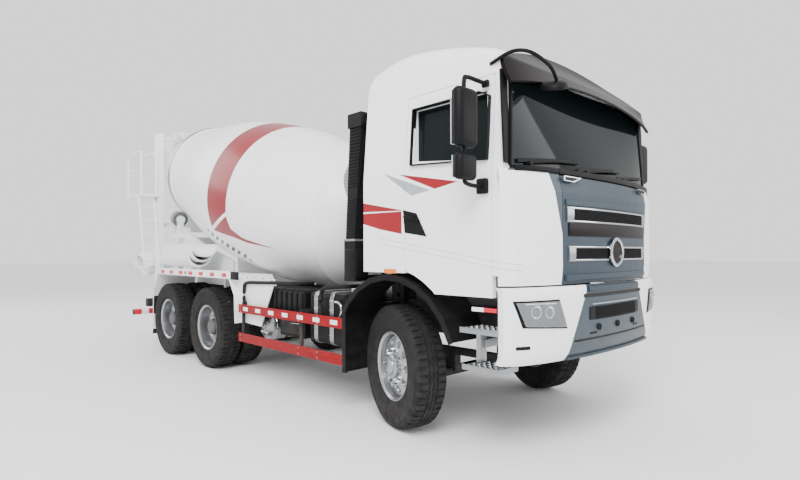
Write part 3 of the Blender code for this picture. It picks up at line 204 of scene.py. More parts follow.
# %% A sheet with a thickness
def panel(front, back, finish):
    """Two grids of the same size, front and back, closed round their rim."""
    front, back = np.array(front, float), np.array(back, float)
    n, m = front.shape[:2]
    points = np.concatenate([front.reshape(-1, 3), back.reshape(-1, 3)])
    quads = grid_faces(n, m)
    rim = np.concatenate([np.arange(m), np.arange(1, n) * m + m - 1,
                          (n - 1) * m + np.arange(m - 1)[::-1], np.arange(1, n - 1)[::-1] * m])
    wall = np.stack([rim, np.roll(rim, -1), np.roll(rim, -1) + n * m, rim + n * m], -1)
    return points, [quads, quads[:, ::-1] + n * m, wall], finish


def flipped(part):
    """The same part on the other side of the truck."""
    return part[0] * (-1, 1, 1), part[1], part[2]


print("helpers ready")

# %% [markdown]
# ## Finishes as sums
# A finish is a Principled shader with a few masks. Writing the masks as sums of
# Python values keeps them readable: a small class wraps a socket, and each sign
# adds one Math node. Colours go through Mix nodes, because Math would grey them.

# %% The socket class
class Value:
    """A socket that takes part in sums; above and below are soft steps, and wave goes up and down between 0 and pitch."""

    def __init__(self, finish, socket):
        self.finish, self.socket = finish, socket

    def math(self, operation, *others):
        return self.finish.node("ShaderNodeMath", {"operation": operation}, dict(enumerate(others)))

    def __add__(self, other): return self.math("ADD", self, other)
    def __radd__(self, other): return self.math("ADD", other, self)
    def __sub__(self, other): return self.math("SUBTRACT", self, other)
    def __rsub__(self, other): return self.math("SUBTRACT", other, self)
    def __mul__(self, other): return self.math("MULTIPLY", self, other)
    def __rmul__(self, other): return self.math("MULTIPLY", other, self)
    def __truediv__(self, other): return self.math("DIVIDE", self, other)
    def __abs__(self): return self.math("ABSOLUTE", self)
    def limited(self): return self.finish.node("ShaderNodeClamp", {}, {0: self})
    def above(self, level, soft=0.003): return ((self - level) / soft + 0.5).limited()
    def below(self, level, soft=0.003): return 1 - self.above(level, soft)
    def between(self, low, high, soft=0.003): return self.above(low, soft) * self.below(high, soft)
    def either(self, other): return self.math("MAXIMUM", self, other)
    def wave(self, pitch): return self.math("PINGPONG", self, pitch)


# %% The finish class
class Finish:
    """One procedural material, with the object's own coordinates at hand."""

    def __init__(self, name, colour, roughness, metallic=0.0, **constants):
        self.material = bpy.data.materials.new(name)
        self.material.use_nodes = True
        self.tree = self.material.node_tree
        self.shader = self.tree.nodes["Principled BSDF"]
        self.set({"Base Color": (*colour, 1), "Roughness": roughness, "Metallic": metallic})
        self.set({key.replace("_", " "): value for key, value in constants.items()})
        self.place = self.node("ShaderNodeTexCoord", {}, {}, "Object")
        parts = self.node("ShaderNodeSeparateXYZ", {}, {0: self.place}, None)
        self.x, self.y, self.z = (Value(self, socket) for socket in parts.outputs)

    def node(self, kind, settings, values, output=0):
        made = self.tree.nodes.new(kind)
        for key, value in settings.items():
            setattr(made, key, value)
        for key, value in values.items():
            self.feed(made.inputs[key], value)
        return made if output is None else Value(self, made.outputs[output])

    def feed(self, socket, value):
        if isinstance(value, Value):
            self.tree.links.new(value.socket, socket)
        else:
            socket.default_value = value

    def set(self, values):
        for key, value in values.items():
            self.feed(self.shader.inputs[key], value)

    def noise(self, scale, detail=3.0, stretch=(1, 1, 1)):
        place = self.node("ShaderNodeMapping", {}, {"Vector": self.place, "Scale": stretch})
        return self.node("ShaderNodeTexNoise", {}, {"Vector": place, "Scale": scale, "Detail": detail})

    def mix(self, share, first, second):
        first, second = ((*c, 1) if isinstance(c, tuple) and len(c) == 3 else c for c in (first, second))
        return self.node("ShaderNodeMix", {"data_type": "RGBA"}, {0: share, 6: first, 7: second}, 2)

    def bump(self, height, distance=0.002, strength=0.4):
        bumped = self.node("ShaderNodeBump", {}, {"Height": height, "Distance": distance, "Strength": strength})
        self.set({"Normal": bumped})

    def shape(self, across, up, corners, soft=0.002):
        """A mask that is 1 inside a convex outline: the product of one half-plane per edge, taken anticlockwise."""
        edges = lambda: zip(corners, corners[1:] + corners[:1])
        if sum(a * d - b * c for (a, b), (c, d) in edges()) < 0:
            corners = corners[::-1]
        inside = 1.0
        for (a, b), (c, d) in edges():
            size = math.hypot(c - a, d - b)
            inside = inside * (((up - b) * (c - a) - (across - a) * (d - b)) / (size * soft) + 0.5).limited()
        return inside


print("finish class ready")

# %% [markdown]
# ## Truck paint
# Gloss paint is even, but never perfectly: it has a faint orange-peel bump, its
# gloss changes a little over a metre, and road dust gathers towards the ground.
# The same recipe with another colour gives every painted piece.

# %% The paint recipe
DUST = (0.30, 0.27, 0.23)


def paint(name, colour, roughness=0.32, coat=0.08, dust=0.35, base=None, peel=0.2, spec=0.32):
    """Colour varied by a slow cloud, dust that fades out 0.75 m above the ground, and a fine bump.

    base draws the markings, if there are any.
    """
    made = Finish(name, colour, roughness, Coat_Weight=coat, Coat_Roughness=0.08, Specular_IOR_Level=spec)
    cloud = made.noise(1.7, 4)
    low = made.z.below(0.75, 0.9) * made.noise(9, 5).above(0.5, 0.5) * dust
    shade = made.mix(cloud * 0.35, colour, tuple(0.90 * c for c in colour)) if base is None else base(made)
    made.set({"Base Color": made.mix(low * 0.55, shade, DUST), "Roughness": roughness + cloud * 0.10 + low * 0.35})
    made.bump(made.noise(160, 2), 0.0006, peel)
    return made.material


FRONT_Y = -2.875
WHITE_COLOUR, RED_COLOUR, SLATE_COLOUR = (0.88, 0.89, 0.89), (0.24, 0.001, 0.006), (0.026, 0.042, 0.058)
WHITE = paint("gloss_white", WHITE_COLOUR)
GREY = paint("blue_grey_paint", (0.022, 0.036, 0.051), 0.36, 0.0, 0.1, spec=0.24)
RED = paint("guard_red", (0.26, 0.001, 0.006), 0.45, 0.0, 0.25, spec=0.12)
FRAME = paint("frame_black", (0.010, 0.010, 0.012), 0.50, 0.0, 0.5, spec=0.12)
GLOSS_BLACK = paint("gloss_black", (0.005, 0.003, 0.003), 0.30, 0.0, 0.0, peel=0.05, spec=0.10)
TAPE_WHITE = paint("reflector_white", (0.88, 0.86, 0.88), 0.35, 0.3, 0.1)
TAPE_RED = paint("reflector_red", (0.55, 0.0, 0.02), 0.35, 0.3, 0.1)
print("paints:", [m.name for m in (WHITE, GREY, RED, FRAME)])

# %% [markdown]
# ## Moulded plastic, rubber, metal and glass
# Plastic has a fine grain, rubber is dull with dust in its grooves, cast metal is
# rough and blotchy, and polished steel shows fine brushing. Glass is a dark tint
# with a clear gloss, thin enough to see the seats.

# %% The other finishes
def plain(name, colour, roughness, metallic=0.0, grain=220, depth=0.0008, spread=0.15, dust=0.4, **constants):
    """An unpainted surface: blotches of a darker shade, roughness that follows them, low dust and a grain in the bump."""
    made = Finish(name, colour, roughness, metallic, **constants)
    cloud = made.noise(6, 5)
    low = made.z.below(0.7, 1.0) * made.noise(14, 5).above(0.52, 0.4) * dust
    shade = made.mix(cloud * 0.5, colour, tuple(0.75 * c for c in colour))
    made.set({"Base Color": made.mix(low * 0.5, shade, DUST), "Roughness": roughness + (cloud - 0.5) * spread})
    made.bump(made.noise(grain, 3), depth, 0.5)
    return made.material


PLASTIC = plain("moulded_black", (0.0065, 0.0065, 0.0075), 0.46, dust=0.12, Specular_IOR_Level=0.10)
RUBBER = plain("tyre_rubber", (0.014, 0.014, 0.015), 0.72, grain=90, depth=0.001, dust=0.16, Specular_IOR_Level=0.10)
IRON = plain("cast_iron", (0.10, 0.10, 0.11), 0.55, 0.5, 60, 0.002)
STEEL = plain("brushed_steel", (0.33, 0.34, 0.355), 0.34, 1.0, 300, 0.0003, dust=0.3)
CHROME = plain("chrome", (0.55, 0.56, 0.58), 0.10, 1.0, 300, 0.0001, 0.05, dust=0.1)
RIM = plain("wheel_steel", (0.40, 0.41, 0.43), 0.32, 0.95, 120, 0.0005, dust=0.4)
TRIM = plain("cab_trim", (0.055, 0.057, 0.062), 0.65)
# Near-black painted shade, laid in slots, gaps and openings where the real truck shows only shade.
PAINTED_SHADE = plain("painted_shade_black", (0.004, 0.004, 0.004), 0.8)
AMBER = plain("amber_lens", (0.80, 0.18, 0.01), 0.2, dust=0.0)
LENS_RED = plain("red_lens", (0.40, 0.005, 0.005), 0.2, dust=0.0)
MIRROR = plain("mirror_glass", (0.75, 0.78, 0.80), 0.03, 1.0, 300, 0.0, 0.02, dust=0.0)
GLASS = plain("tinted_glass", (0.006, 0.009, 0.010), 0.05, 0.0, 300, 0.0, 0.02, 0.0, Alpha=0.95, Specular_IOR_Level=0.10)
CLEAR = plain("lamp_lens", (0.60, 0.64, 0.68), 0.04, 0.0, 300, 0.0, 0.02, dust=0.0, Alpha=0.16)
print("finishes:", len(bpy.data.materials))

# %% [markdown]
# ## Cab and drum markings
# The red flashes on the cab and the band round the drum are painted on flat
# outlines. Each is a product of straight edges in the part's own coordinates, so
# they stay sharp from near and need no picture.

# %% Cab side paint
def cab_marks(made):
    """Red and grey flashes, the pressed lines drawn as dark lines of painted shade, and the slate front corners, on
    both sides.
    """
    back, up, across = made.y - FRONT_Y, made.z, abs(made.x)
    side = across.above(1.10, 0.02)
    shape = lambda corners: made.shape(back, up, corners) * side
    shade = made.mix(shape([(.08, 2.19), (-.265, 1.97), (-.47, 2.0)]), WHITE_COLOUR, (0.32, 0.33, 0.35))
    flag = shape([(.369, 1.957), (-.149, 1.863), (-.150, 1.665), (.12, 1.712), (.368, 1.773)])
    stripe = shape([(.38, 1.873), (.38, 1.858), (-.16, 1.852), (-.16, 1.857)])
    red = shape([(-.107, 2.162), (-.522, 2.005), (-.757, 2.04)]).either(flag * (1 - stripe))
    shade = made.mix(red, shade, RED_COLOUR)
    # The pressed lines are two thin darker lines: painted shade in the creases of the pressings.
    level = up - back * 0.155
    line = level.between(1.612, 1.618, 0.004).either(level.between(1.570, 1.576, 0.004)) * back.below(0.13, 0.01) * side
    corner = (up - 1.62 - (across - .72) * 4.2).above(0.0, 0.004).either(up.above(2.085, 0.003))
    corner = corner * made.y.below(FRONT_Y - 1.16, 0.004) * across.below(1.205, 0.004)
    return made.mix(line * 0.55, made.mix(corner, shade, SLATE_COLOUR), (0.22, 0.23, 0.24))


def two_tone(made):
    """Slate in the middle of the bumper, white at its ends, on slanted joints."""
    middle = (0.513 + (1.126 - made.z) * 0.495 - abs(made.x)).above(0.0, 0.004)
    return made.mix(middle, WHITE_COLOUR, SLATE_COLOUR)


CAB_WHITE = paint("cab_white", WHITE_COLOUR, base=cab_marks)
BUMPER_PAINT = paint("bumper_two_tone", WHITE_COLOUR, base=two_tone)

# %% Drum paint
DRUM_TILT = math.radians(14)
DRUM_AXIS = np.array((0.0, math.cos(DRUM_TILT), math.sin(DRUM_TILT)))
DRUM_START = np.array((0.0, FRONT_Y + 1.72, 1.84))


def drum_marks(made):
    """The band, its pointed tail and short strokes, in distance along the drum and arc round it."""
    y, z = made.y - DRUM_START[1], made.z - DRUM_START[2]
    s = y * DRUM_AXIS[1] + z * DRUM_AXIS[2]
    high = z * DRUM_AXIS[1] - y * DRUM_AXIS[2]
    angle = made.node("ShaderNodeMath", {"operation": "ARCTAN2"}, {0: high, 1: abs(made.x)}) * math.degrees(1)
    arc = angle * 0.018
    shape = lambda corners: made.shape(s, arc, corners)
    band = s.between(1.65, 2.20, 0.006) * (angle + 10.0 + (s - 1.654) * 31.5).above(0.0, 0.25)
    red = band.either(shape([(2.19, -.540), (1.66, -.239), (1.59, -.40), (1.60, -.515)]))
    red = red.either(shape([(1.66, -.515), (1.66, -.375), (1.33, -.47)]))
    red = red.either(shape([(1.66, -.515), (1.62, -.455), (1.30, -.468), (.676, -.529)]))
    slant = (s + arc * 1.4).wave(0.085).above(0.045, 0.004)
    strokes = slant * shape([(2.52, -.575), (2.42, -.70), (1.48, -.93), (1.48, -.78)])
    # The seam lines are grey rings at the head crease and the cone joint and a line along the front cone: painted shade
    # of the creases and joints.
    seam = s.between(0.040, 0.050, 0.006).either(s.between(1.262, 1.270, 0.006))
    seam = seam.either(angle.between(-17.2, -16.9, 0.3) * s.between(0.05, 1.26))
    streak = made.noise(3.0, 5, (1, 1, 0.25)).above(0.62, 0.3) * s.above(3.4, 1.5)
    shade = WHITE_COLOUR
    for share, colour in ((red, RED_COLOUR), (strokes, (0.02, 0.02, 0.022)),
                          (seam * 0.35, (0.30, 0.31, 0.32)), (streak * 0.35, (0.45, 0.44, 0.42))):
        shade = made.mix(share, shade, colour)
    return shade


DRUM_PAINT = paint("drum_white", WHITE_COLOUR, 0.26, base=drum_marks)
print("marked paints ready")

# %% [markdown]
# ## The drum
# The drum is a shell of revolution, so one profile turned round its tilted axis
# makes the dished front, the two cones, the barrel and the wall inside the mouth.
# Two helical blades inside push the concrete in one direction and lift it out in
# the other, and they show in the mouth from behind.

# %% Turn the drum
DISH = smooth_path([(0.0, -.440), (0.16, -.438), (0.38, -.36), (0.62, -.2), (0.80, 0.0)], 5)
BARREL = smooth_path([(1.088, 1.95), (1.089, 2.3), (1.080, 2.62), (1.045, 2.95), (0.995, 3.3)], 4)
MOUTH = [(0.842, 4.125), (0.838, 4.222), (0.860, 4.225), (0.860, 4.335), (0.803, 4.338), (0.735, 4.745), (0.729, 4.75)]
INNER = [(0.711, 4.75), (0.775, 4.30), (0.975, 3.3), (1.055, 2.6), (1.055, 1.95), (1.02, 1.2),
         (0.78, 0.0), (0.6, -.18), (0.0, -.34)]
PROFILE = np.concatenate([DISH, [(0.811, 0.05), (1.046, 1.22), (1.052, 1.27), (1.078, 1.7)], BARREL, MOUTH, INNER])
TRACK = [(0.8612, 4.235), (0.8612, 4.325), (0.859, 4.325), (0.859, 4.235)]


def blade(first):
    """A helix: angle grows by 2.6 a metre, radius runs from the wall 0.30 inwards."""
    s = np.linspace(2.6, 4.72, 60)
    wall = np.interp(s, [2.6, 3.3, 4.3, 4.75], [1.05, 0.97, 0.77, 0.708])
    t = (first + (s - 2.6) * 2.6)[:, None]
    spoke = np.cos(t) * (1.0, 0, 0) + np.sin(t) * np.cross(DRUM_AXIS, (1, 0, 0))
    grid = [DRUM_START + DRUM_AXIS * s[:, None] + spoke * (wall - depth)[:, None] for depth in (0.0, 0.15, 0.30)]
    grid = np.stack(grid, 1)
    return panel(grid, grid + DRUM_AXIS * 0.008, IRON)


shell = turned(PROFILE, DRUM_START, DRUM_AXIS, 144, DRUM_PAINT, False)
drum = piece("mixing_drum", "drum", [shell], ("drum",), 25)
piece("mixing_blades", "drum", [blade(0.4), blade(0.4 + math.pi)])
piece("drum_track", "drum", [turned(TRACK, DRUM_START, DRUM_AXIS, 96, STEEL)])
print("drum:", len(drum.data.polygons), "faces")

# %% [markdown]
# ## Wheels
# A tyre is one grid: rows go round, columns go across. The rows come in fours per
# lug, two high and two low, so the shoulder grooves are sharp without a dense
# mesh, and the columns beside the centre grooves shift in a zigzag. The rim, disc
# and hub are turned, with hand holes pressed into the disc and hexagon nuts.

# %% Make a tyre
TREAD_HALF = [.0045, .006, .0285, .031, .042, .0445, .060, .084, .104, .112]
GROOVE_HALF = [.6, 0, 0, 1, 1, 0, 0, 0, 0, 0]
TREAD = np.array([-a for a in TREAD_HALF[::-1]] + TREAD_HALF)
GROOVE = np.array(GROOVE_HALF[::-1] + GROOVE_HALF)
# Bead to shoulder: radius and distance from the middle.
SIDE = np.array([(.287, .098), (.291, .112), (.306, .122), (.335, .1345), (.340, .1365), (.345, .1350), (.385, .1425),
                 (.425, .145), (.465, .1430), (.470, .1445), (.476, .1415), (.500, .133), (.516, .124)])


def tyre(centre, axis, crown=0.531, lugs=54):
    """Radius = profile - groove depth, with low rows cutting the shoulders, on rows 0, .60, .66, .94 of each lug."""
    across = np.concatenate([-SIDE[:, 1], TREAD, SIDE[::-1, 1]])
    radius = np.concatenate([SIDE[:, 0], crown - 0.006 * (TREAD / .112) ** 2, SIDE[::-1, 0]])
    edge = len(SIDE)
    lug = np.arange(lugs)[:, None] + np.array([0.0, 0.60, 0.66, 0.94])
    t = (lug.reshape(-1) * 2 * np.pi / lugs)[:, None]
    low = np.tile([0, 0, 1, 1], lugs)[:, None]
    cut, groove = np.zeros_like(across), np.zeros_like(across)
    cut[edge:-edge] = np.where(np.abs(TREAD) > 0.05, 0.013, np.where(np.abs(TREAD) > 0.028, 0.004, 0.002))
    cut[edge - 1] = cut[-edge] = 0.007
    groove[edge:-edge] = GROOVE * 0.012
    zigzag = np.where(np.tile([0, 1, 1, 0], lugs) > 0, 0.005, -0.005)[:, None] * (np.abs(across) < 0.05)
    points = round_axis(centre, axis, t, radius - np.maximum(low * cut, groove), across + zigzag)
    return points, [grid_faces(lugs * 4, len(across), True, True)], RUBBER


# %% Make the rim, disc and hub
HOLES, HOLE_PLACE, HOLE_RADIUS, HOLE_EDGE = 10, 0.2, 0.022, 0.006


def disc(profile, centre, axis, depth, count=160):
    """A turned disc that sinks by depth inside its round holes: sink = depth * clip((radius - distance) / edge)."""
    rows = np.array(profile, float)
    r, a = (np.interp(np.linspace(0, len(rows) - 1, 44), np.arange(len(rows)), rows[:, i]) for i in (0, 1))
    t = np.linspace(0, 2 * np.pi, count, endpoint=False)[:, None]
    pitch = 2 * np.pi / HOLES
    near = (t + pitch / 2) % pitch - pitch / 2
    away = np.sqrt((r * np.cos(near) - HOLE_PLACE) ** 2 + (r * np.sin(near)) ** 2)
    sink = depth * np.clip((HOLE_RADIUS + HOLE_EDGE - away) / HOLE_EDGE, 0, 1)
    return round_axis(centre, axis, t, r + 0 * t, a - sink), [grid_faces(count, len(r), True, False)], RIM


def nuts(centre, axis, count, place, at, size, finish, tall=0.03):
    """Hexagon nuts with a domed end, spaced round the hub."""
    outline = [(0.0, at), (size, at), (size, at + tall * 0.6), (size * .72, at + tall * 0.62),
               (size * .6, at + tall), (0.0, at + tall * 1.05)]
    spots = round_axis(centre, axis, np.linspace(0, 2 * np.pi, count, endpoint=False), place, 0.0)
    return [turned(outline, spot, axis, 6, finish, False) for spot in spots]


FLANGE = [(.286, .100), (.298, .108), (.298, .114), (.290, .116), (.270, .100), (.262, .05)]
BARREL_RIM = [(r, -a) for r, a in FLANGE] + FLANGE[::-1] + [(.2865, 0.0)]
plug = lambda r, a, b: [(r, a), (r, b), (0.0, b), (0.0, a)]
# Disc, dark plug behind it, sink of the holes, hub, hub finish, wheel nuts and hub bolts.
FRONT_WHEEL = dict(
    face=[(.263, .045), (.255, .060), (.235, .066), (.205, .078), (.165, .088),
          (.158, .092), (.120, .094), (.100, .094), (0.0, .094)],
    plug=plug(.262, -.06, .03), depth=0.05, hub_finish=RIM,
    hub=[(.102, .09), (.102, .118), (.094, .126), (.07, .130), (.066, .142), (.03, .147), (0.0, .148)],
    nuts=(10, 0.141, 0.092, 0.0165, CHROME, 0.036), bolts=(8, 0.083, 0.126, 0.007, STEEL, 0.010))
REAR_WHEEL = dict(
    face=[(.263, -.02), (.255, -.045), (.235, -.060), (.205, -.066), (.165, -.068),
          (.150, -.068), (.110, -.068), (.1, -.068), (0.0, -.068)],
    plug=plug(.262, -.10, -.085), depth=0.03, hub_finish=IRON,
    hub=[(.115, -.07), (.112, -.01), (.104, .03), (.098, .055), (.085, .062), (.080, .072), (.03, .076), (0.0, .077)],
    nuts=(10, 0.141, -.068, 0.0165, RIM, 0.036), bolts=(10, 0.093, 0.050, 0.007, STEEL, 0.014))


def wheel(name, node, tyres, kind):
    """Tyres and rims at each offset, and the disc, hub and nuts on the outermost one."""
    centre = np.mean(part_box(node), axis=0)
    axis = np.array(JOINTS[node + "_spin"]["axis"], float)
    axis *= np.sign(axis[0]) * np.sign(centre[0])
    outer = centre + axis * max(tyres)
    parts = [tyre(centre + axis * offset, axis) for offset in tyres]
    parts += [turned(BARREL_RIM, centre + axis * offset, axis, 96, RIM) for offset in tyres]
    parts += [disc(kind["face"], outer, axis, kind["depth"]), turned(kind["plug"], outer, axis, 48, IRON, False)]
    parts += nuts(outer, axis, *kind["nuts"]) + nuts(outer, axis, *kind["bolts"])
    parts += [turned(kind["hub"], outer, axis, 48, kind["hub_finish"], False)]
    if len(tyres) > 1:
        parts += [turned(plug(.262, .02, -.02), centre + axis * min(tyres), axis, 48, IRON, False),
                  turned(plug(.14, -.10, .10), centre, axis, 40, IRON, False)]
    return piece(name, node, parts, (node,), 38)


made = []
for side in ("right", "left"):
    made.append(wheel("front_wheel_" + side, "wheel_front_" + side, (0.0,), FRONT_WHEEL))
    for place in ("middle", "rear"):
        made.append(wheel(f"{place}_twin_{side}", f"wheels_{place}_{side}", (-.1675, .1675), REAR_WHEEL))
print("wheels:", sum(len(wheel_.data.polygons) for wheel_ in made), "faces")

# %% [markdown]
# ## The front of the cab
# The lid carries two wide slots filled with black mesh, chrome trims, a plain
# round ring, and a glossy band. The front bows like half an ellipse, so every
# detail is laid on that curve: a path in x, moved forward by a few millimetres.

# %% The front curve and strips on it
CAB_HALF, BOW, CAB_FRONT = 1.222, 0.27, FRONT_Y - 1.385
FORWARD = (0, -1, 0)


def front(x):
    """y = front + bow * (1 - sqrt(1 - (x / half width)^2))"""
    return CAB_FRONT + BOW * (1 - np.sqrt(1 - np.minimum(np.abs(x) / CAB_HALF, 1.0) ** 2))


def strip(x, low, high, proud, finish, deep=0.012, count=26, shift=0.0):
    """A band on the front between two heights; its face stands out by proud * crown, which falls off at both edges."""
    x = np.linspace(x[0], x[1], count)
    v = np.array([0.0, 0.12, 0.5, 0.88, 1.0])[:, None]
    crown = np.array([0.35, 0.9, 1.0, 0.9, 0.35])[:, None]
    z = low * (1 - v) + high * v + 0 * x
    y = front(x) + shift + 0 * z
    face = np.stack([x + 0 * z, y - proud * crown, z], -1)
    return panel(face, np.stack([x + 0 * z, y + deep, z], -1), finish)


def mesh_strip(x, low, high, proud, pitch=0.022):
    """Thin slanting wires that cross, each a small square bar laid on the front curve."""
    parts, ends, rise = [], np.array(x), high - low
    for lean in (-1, 1):
        for start in np.arange(x[0] - rise, x[1], pitch):
            first, last = (start, start + rise)[::lean]
            share = np.sort(np.clip((ends - first) / (last - first), 0, 1))
            if share[1] - share[0] < 0.05:
                continue
            wire_x, wire_z = first + (last - first) * share, low + rise * share
            wire = np.c_[wire_x, front(wire_x) - proud, wire_z]
            parts.append(carried(soft_rectangle(.004, .004, .001, 1), wire, PLASTIC, (0, 1, 0)))
    return parts


def chip(corners, proud, finish):
    """A four-cornered plate on the front curve; proud is how far each corner stands out."""
    sheet = lambda out: np.array([(-x, front(x) - o, z) for (x, z), o in zip(corners, out)]).reshape(2, 2, 3)
    return panel(sheet(proud), sheet([-.01] * 4), finish)


def both_sides(parts):
    """The parts and their mirror images across the truck's middle."""
    return parts + [flipped(part) for part in parts]


# %% Grille, trims and ring
grille = []
for low, high, half in ((1.745, 1.835, 0.66), (1.455, 1.545, 0.64)):
    # Each slot is backed by a near-black strip: painted shade behind the mesh.
    grille += [strip((-half, half), low, high, 0.0015, PAINTED_SHADE, shift=0.001)]
    grille += mesh_strip((-half + .03, half - .03), low + .008, high - .008, 0.004)
    grille += [strip((-half, half), high - .004, high + .012, 0.010, CHROME),
               strip((-half, half), low - .012, low + .004, 0.008, CHROME)]
    grille += both_sides([strip((-half - .02, -half + .055), low - .012, high + .012, 0.011, STEEL, count=8)])
grille += [strip((-.655, .655), 1.630, 1.735, 0.006, GLOSS_BLACK),
           strip((-.69, .69), 1.300, 1.345, 0.007, GREY), strip((-.69, .69), 1.855, 1.90, 0.008, GREY)]
ring_at = (0.0, CAB_FRONT - 0.012, 1.510)
RING = [(.118, 0.0), (.118, .012), (.108, .020), (.096, .020), (.090, .012), (.090, 0.0)]
RING_PLATE = [(0.0, -.01), (.0905, -.01), (.0905, .004), (.05, .007), (0.0, .008)]
grille += [turned(RING, ring_at, FORWARD, 64, CHROME), turned(RING_PLATE, ring_at, FORWARD, 64, GLOSS_BLACK, False)]
# The near-black chip on each chrome brow is painted shade in the gap under the brow.
grille += both_sides([
    chip([(.715, 2.035), (.60, 2.03), (.715, 2.072), (.50, 2.068)], (.008, .008, .006, .004), CHROME),
    chip([(.700, 2.041), (.61, 2.037), (.700, 2.064), (.53, 2.062)], (.011, .011, .009, .008), PAINTED_SHADE)])


def sill_strip(x0, x1):
    """The black strip at the windscreen's foot: its middle lifts with the lid, its ends stay on the cab."""
    return strip((x0, x1), 2.085, 2.125, 0.006, PLASTIC, 0.05, shift=0.028)


grille.append(sill_strip(-.72, .72))
piece("grille_and_trims", "hatch", grille, angle=30)

# %% [markdown]
# ## Bumper and lamps
# The bumper has a painted centre with an inlet, a ledge above it, three tow
# covers, a lower lip, and a lamp in each end behind a clear lens.

# %% Bumper details
PROUD = 0.019


def bumper_skin():
    """Depth = front curve - proud, plus 0.03 * t^2 at the foot and 0.02 * t^2 at the top, so both edges roll in."""
    x = 1.218 * np.sin(np.linspace(-np.pi / 2, np.pi / 2, 61))[None, :]
    z = np.array([.720, .728, .745, .775, .82, .90, 1.0, 1.10, 1.17, 1.215, 1.24, 1.255, 1.262])[:, None]
    roll = 0.030 * np.clip((.80 - z) / .08, 0, 1) ** 2 + 0.020 * np.clip((z - 1.20) / .062, 0, 1) ** 2
    face = np.stack([x + 0 * z, front(x) - PROUD + roll, z + 0 * x], -1)
    return panel(face, face * (.985, 1, 1) + (0, .055, 0), BUMPER_PAINT)


bumper = [bumper_skin(), strip((-.44, .44), 1.205, 1.258, 0.030, GREY, 0.02)]
# The near-black strip under the ledge is painted shade.
bumper += [strip((-.505, .505), 1.165, 1.20, 0.024, PAINTED_SHADE, 0.01)]
bumper += [block((s * .43 - .035, FRONT_Y - 1.35, .84), (s * .43 + .035, FRONT_Y - .952, .96), FRAME, .01)
           for s in (-1, 1)]
# The near-black strip behind the inlet mesh is painted shade.
bumper += [strip((-.43, .43), .985, 1.105, PROUD + .002, PAINTED_SHADE, 0.0)]
bumper += mesh_strip((-.36, .36), .995, 1.095, PROUD + .006)
bumper += both_sides([strip((-.43, -.355), .985, 1.105, PROUD + .008, PLASTIC, count=6),
                      strip((-.42, -.33), .885, .905, PROUD + .005, PLASTIC, count=6),
                      strip((-1.16, -1.06), .83, .862, PROUD + .004, PLASTIC, count=6)])
bumper += [strip((-.40, .40), 1.110, 1.120, PROUD + .010, CHROME), strip((-.62, .62), .845, .862, PROUD + .006, PLASTIC),
           strip((-.70, .70), .720, .745, PROUD + .004, GREY, 0.0)]
TOW_COVER = [(0.0, 0.0), (.027, 0.0), (.027, .008), (.020, .010), (.016, .004), (0.0, .003)]
bumper += [turned(TOW_COVER, (x, front(x) - PROUD - .004, .935), FORWARD, 28, PLASTIC, False) for x in (-.30, 0.0, .30)]

# %% Lamps
def lamp():
    """A leaning trapezoid on the bumper's end, as housing, dark bowl and lens; bulge = 0.010 * sin(pi u) * sin(pi v)."""
    v, u = np.linspace(0, 1, 7)[:, None], np.linspace(0, 1, 15)[None, :]

    def grid(inset, proud):
        top, low = (-1.178 + inset, -.790 - inset), (-1.115 + inset, -.705 - inset)
        x = (low[0] * (1 - v) + top[0] * v) * (1 - u) + (low[1] * (1 - v) + top[1] * v) * u
        z = (0.985 + inset) * (1 - v) + (1.172 - inset) * v - 0.028 * u * (1 - v)
        bulge = 0.010 * np.sin(np.pi * u) * np.sin(np.pi * v)
        return np.stack([x, front(x) - PROUD - proud - bulge, z], -1)

    return [panel(grid(inset, face), grid(inset, back), finish) for inset, face, back, finish in
            ((0.0, 0.003, -.012, PLASTIC), (0.012, 0.006, 0.0035, GLOSS_BLACK), (0.010, 0.019, 0.016, CLEAR))]


def bulbs():
    """Two reflector rings, each round a dark bulb, and a white bar above them."""
    parts = []
    for x, z, r in ((-1.02, 1.092, .048), (-.90, 1.085, .043)):
        centre, out = (x, front(x) - PROUD - .006, z), (x * .28, -1.0, 0.0)
        bowl = [(r, 0.0), (r, .010), (r - .006, .012), (r * .55, .002), (0.0, .001)]
        bulb = [(r * .45, 0.0), (r * .45, .006), (r * .3, .010), (0.0, .012)]
        parts += [turned(bowl, centre, out, 36, CHROME, False), turned(bulb, centre, out, 24, GLASS, False)]
    ends = [(-x, front(x) - PROUD - .011, z) for x, z in ((1.10, 1.150), (.84, 1.146))]
    return parts + [bar(*ends, .010, .008, TAPE_WHITE)]


bumper += both_sides(lamp() + bulbs())
piece("bumper_details", "chassis", bumper, ("front_bumper",), 30)
print("front details:", len(grille) + len(bumper), "parts")

# %% [markdown]
# ## Roof, visor, wipers and mirrors
# The roof is a smooth crown that bulges over the cab, so it is one grid whose
# height falls off from the middle as a power curve. The visor is a deep glossy
# blade, and a round mirror on a long bent arm hangs off the corner.

# %% The curve of the screen
ROOF_LOW, ROOF_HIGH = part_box("cab_roof")
EAVES, BELT, SCREEN_Y = ROOF_LOW[2], 2.12, FRONT_Y - 1.22


def bow(x):
    """Bow in plan = 0.15 * (1 - sqrt(1 - (x / 1.27)^2)), held at its value for x = 1.22 beyond that."""
    return 0.15 * (1 - np.sqrt(1 - (np.minimum(np.abs(x), 1.22) / 1.27) ** 2))


def screen_y(x, z):
    """The cab's front: the bow in plan, plus a lean above the belt that fades towards the sides."""
    return SCREEN_Y + bow(x) + 0.22 * np.maximum(0, z - BELT) * (1 - (x / 1.27) ** 2)


# %% Roof skin
# Each row of the crown: distance behind the front axle and rise over the eaves.
CROWN = np.array([(.340, 0.0), (.338, .10), (.333, .20), (.318, .265), (.28, .305), (.18, .345), (.05, .378),
                  (-.10, .385), (-.30, .36), (-.55, .305), (-.80, .225), (-.95, .165), (-1.05, .10), (-1.09, .05),
                  (-1.10, 0.0)])


